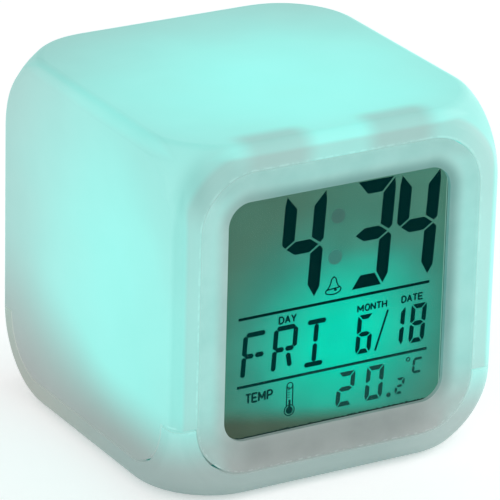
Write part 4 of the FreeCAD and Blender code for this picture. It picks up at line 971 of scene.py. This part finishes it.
def make_cell_finish(name, end):
    finish, tree, shader, place = new_finish(name, jacket, 0.28)
    y = calc(tree, "MULTIPLY", split(tree, place)[1], end)
    band = pulse(tree, y, (band_start + band_end) / 2, (band_end - band_start) / 2, 0.08)
    along = calc(tree, "ABSOLUTE", calc(tree, "ADD", y, cell_shift))
    bare = remap(tree, along, jacket_end - jacket_edge, jacket_end + jacket_edge)
    scuff = remap(tree, noise(tree, place, 1.4, 4.0, 0.7), 0.62, 0.70, 0.0, 0.35)
    colour = mix_colour(tree, band, jacket, jacket_band)
    colour = mix_colour(tree, scuff, colour, scuff_pale)
    plug(tree, mix_colour(tree, bare, colour, can_steel), shader.inputs["Base Color"])
    plug(tree, bare, shader.inputs["Metallic"])
    plug(tree, wander(tree, place, 2.2, 3.0, 0.2, 0.4), shader.inputs["Roughness"])
    return finish


def make_board_finish():
    finish, tree, shader, place = new_finish("Green circuit board", (0.02, 0.12, 0.05), 0.35)
    upright = {"Vector": place, "Rotation": (math.pi / 2, 0, 0)}
    turned = add_node(tree, "ShaderNodeMapping", upright).outputs[0]
    plugs = {"Vector": turned, "Scale": 0.35, "Mortar Size": 0.06, "Brick Width": 1.7, "Row Height": 0.5,
             "Color1": (0, 0, 0, 1), "Color2": (0.25, 0.25, 0.25, 1), "Mortar": (1, 1, 1, 1)}
    tracks = add_node(tree, "ShaderNodeTexBrick", plugs).outputs["Color"]
    lacquer = mix_colour(tree, tracks, lacquer_low, lacquer_high)
    tone = wander(tree, place, 4.0, 2.0, 0.85, 1.15)
    plug(tree, scaled(tree, lacquer, tone), shader.inputs["Base Color"])
    add_bump(tree, shader, tracks, 0.4, 0.04)
    return finish


def make_strip_finish():
    """Thin black and pale stripes across the strip carry the signals side by side."""
    finish, tree, shader, place = new_finish("Striped contact rubber", (0.05, 0.05, 0.05), 0.6)
    stripes = add_node(tree, "ShaderNodeTexWave", {"Vector": place, "Scale": 1.2}, bands_direction="X")
    share = remap(tree, stripes.outputs["Fac"], 0.45, 0.55)
    plug(tree, mix_colour(tree, share, strip_black, strip_pale), shader.inputs["Base Color"])
    return finish


def make_lamp_finish():
    finish, tree, shader, place = new_finish("Lit clear resin", (0.75, 0.90, 0.88), 0.12)
    shader.inputs["Emission Strength"].default_value = 1.0
    z = split(tree, place)[2]
    glow = remap(tree, z, *resin_range, *resin_levels)
    plug(tree, scaled(tree, resin_light, glow), shader.inputs["Emission Color"])
    return finish


for n in numbered:
    toward = 1.0 if int(n) % 2 == 0 else -1.0
    dress(make_cell_finish("Cell jacket " + n, toward), "battery_" + n)
dress(make_board_finish(), "main_board", "control_board", "light_board")
dress(make_strip_finish(), "lcd_contact_strip")
dress(make_lamp_finish(), "lamp_left", "lamp_middle", "lamp_right")

# %% [markdown]
# ## The return springs
# Four return springs hold the cover up, and they get shorter when it is pressed. The imported springs keep
# their length; a copy of each takes its place, with its loose triangles merged, and is hung on the chassis.


def make_spring(node):
    form = bmesh.new()
    form.from_mesh(cad[node].data)
    bmesh.ops.remove_doubles(form, verts=form.verts, dist=0.001 * MM)
    bmesh.ops.recalc_face_normals(form, faces=form.faces[:])
    mesh = bpy.data.meshes.new(node + "_wire")
    form.to_mesh(mesh)
    form.free()
    mesh.materials.append(cad[node].material_slots[0].material)
    piece = bpy.data.objects.new(node + "_wire", mesh)
    bpy.context.scene.collection.objects.link(piece)
    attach(piece, "chassis")
    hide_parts(node)
    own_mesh(piece)


for corner in CORNERS:
    make_spring("return_spring_" + corner)

# %% [markdown]
# ## The end
# The looks must not change the object's size.

# %% Finish
bpy.context.view_layer.update()
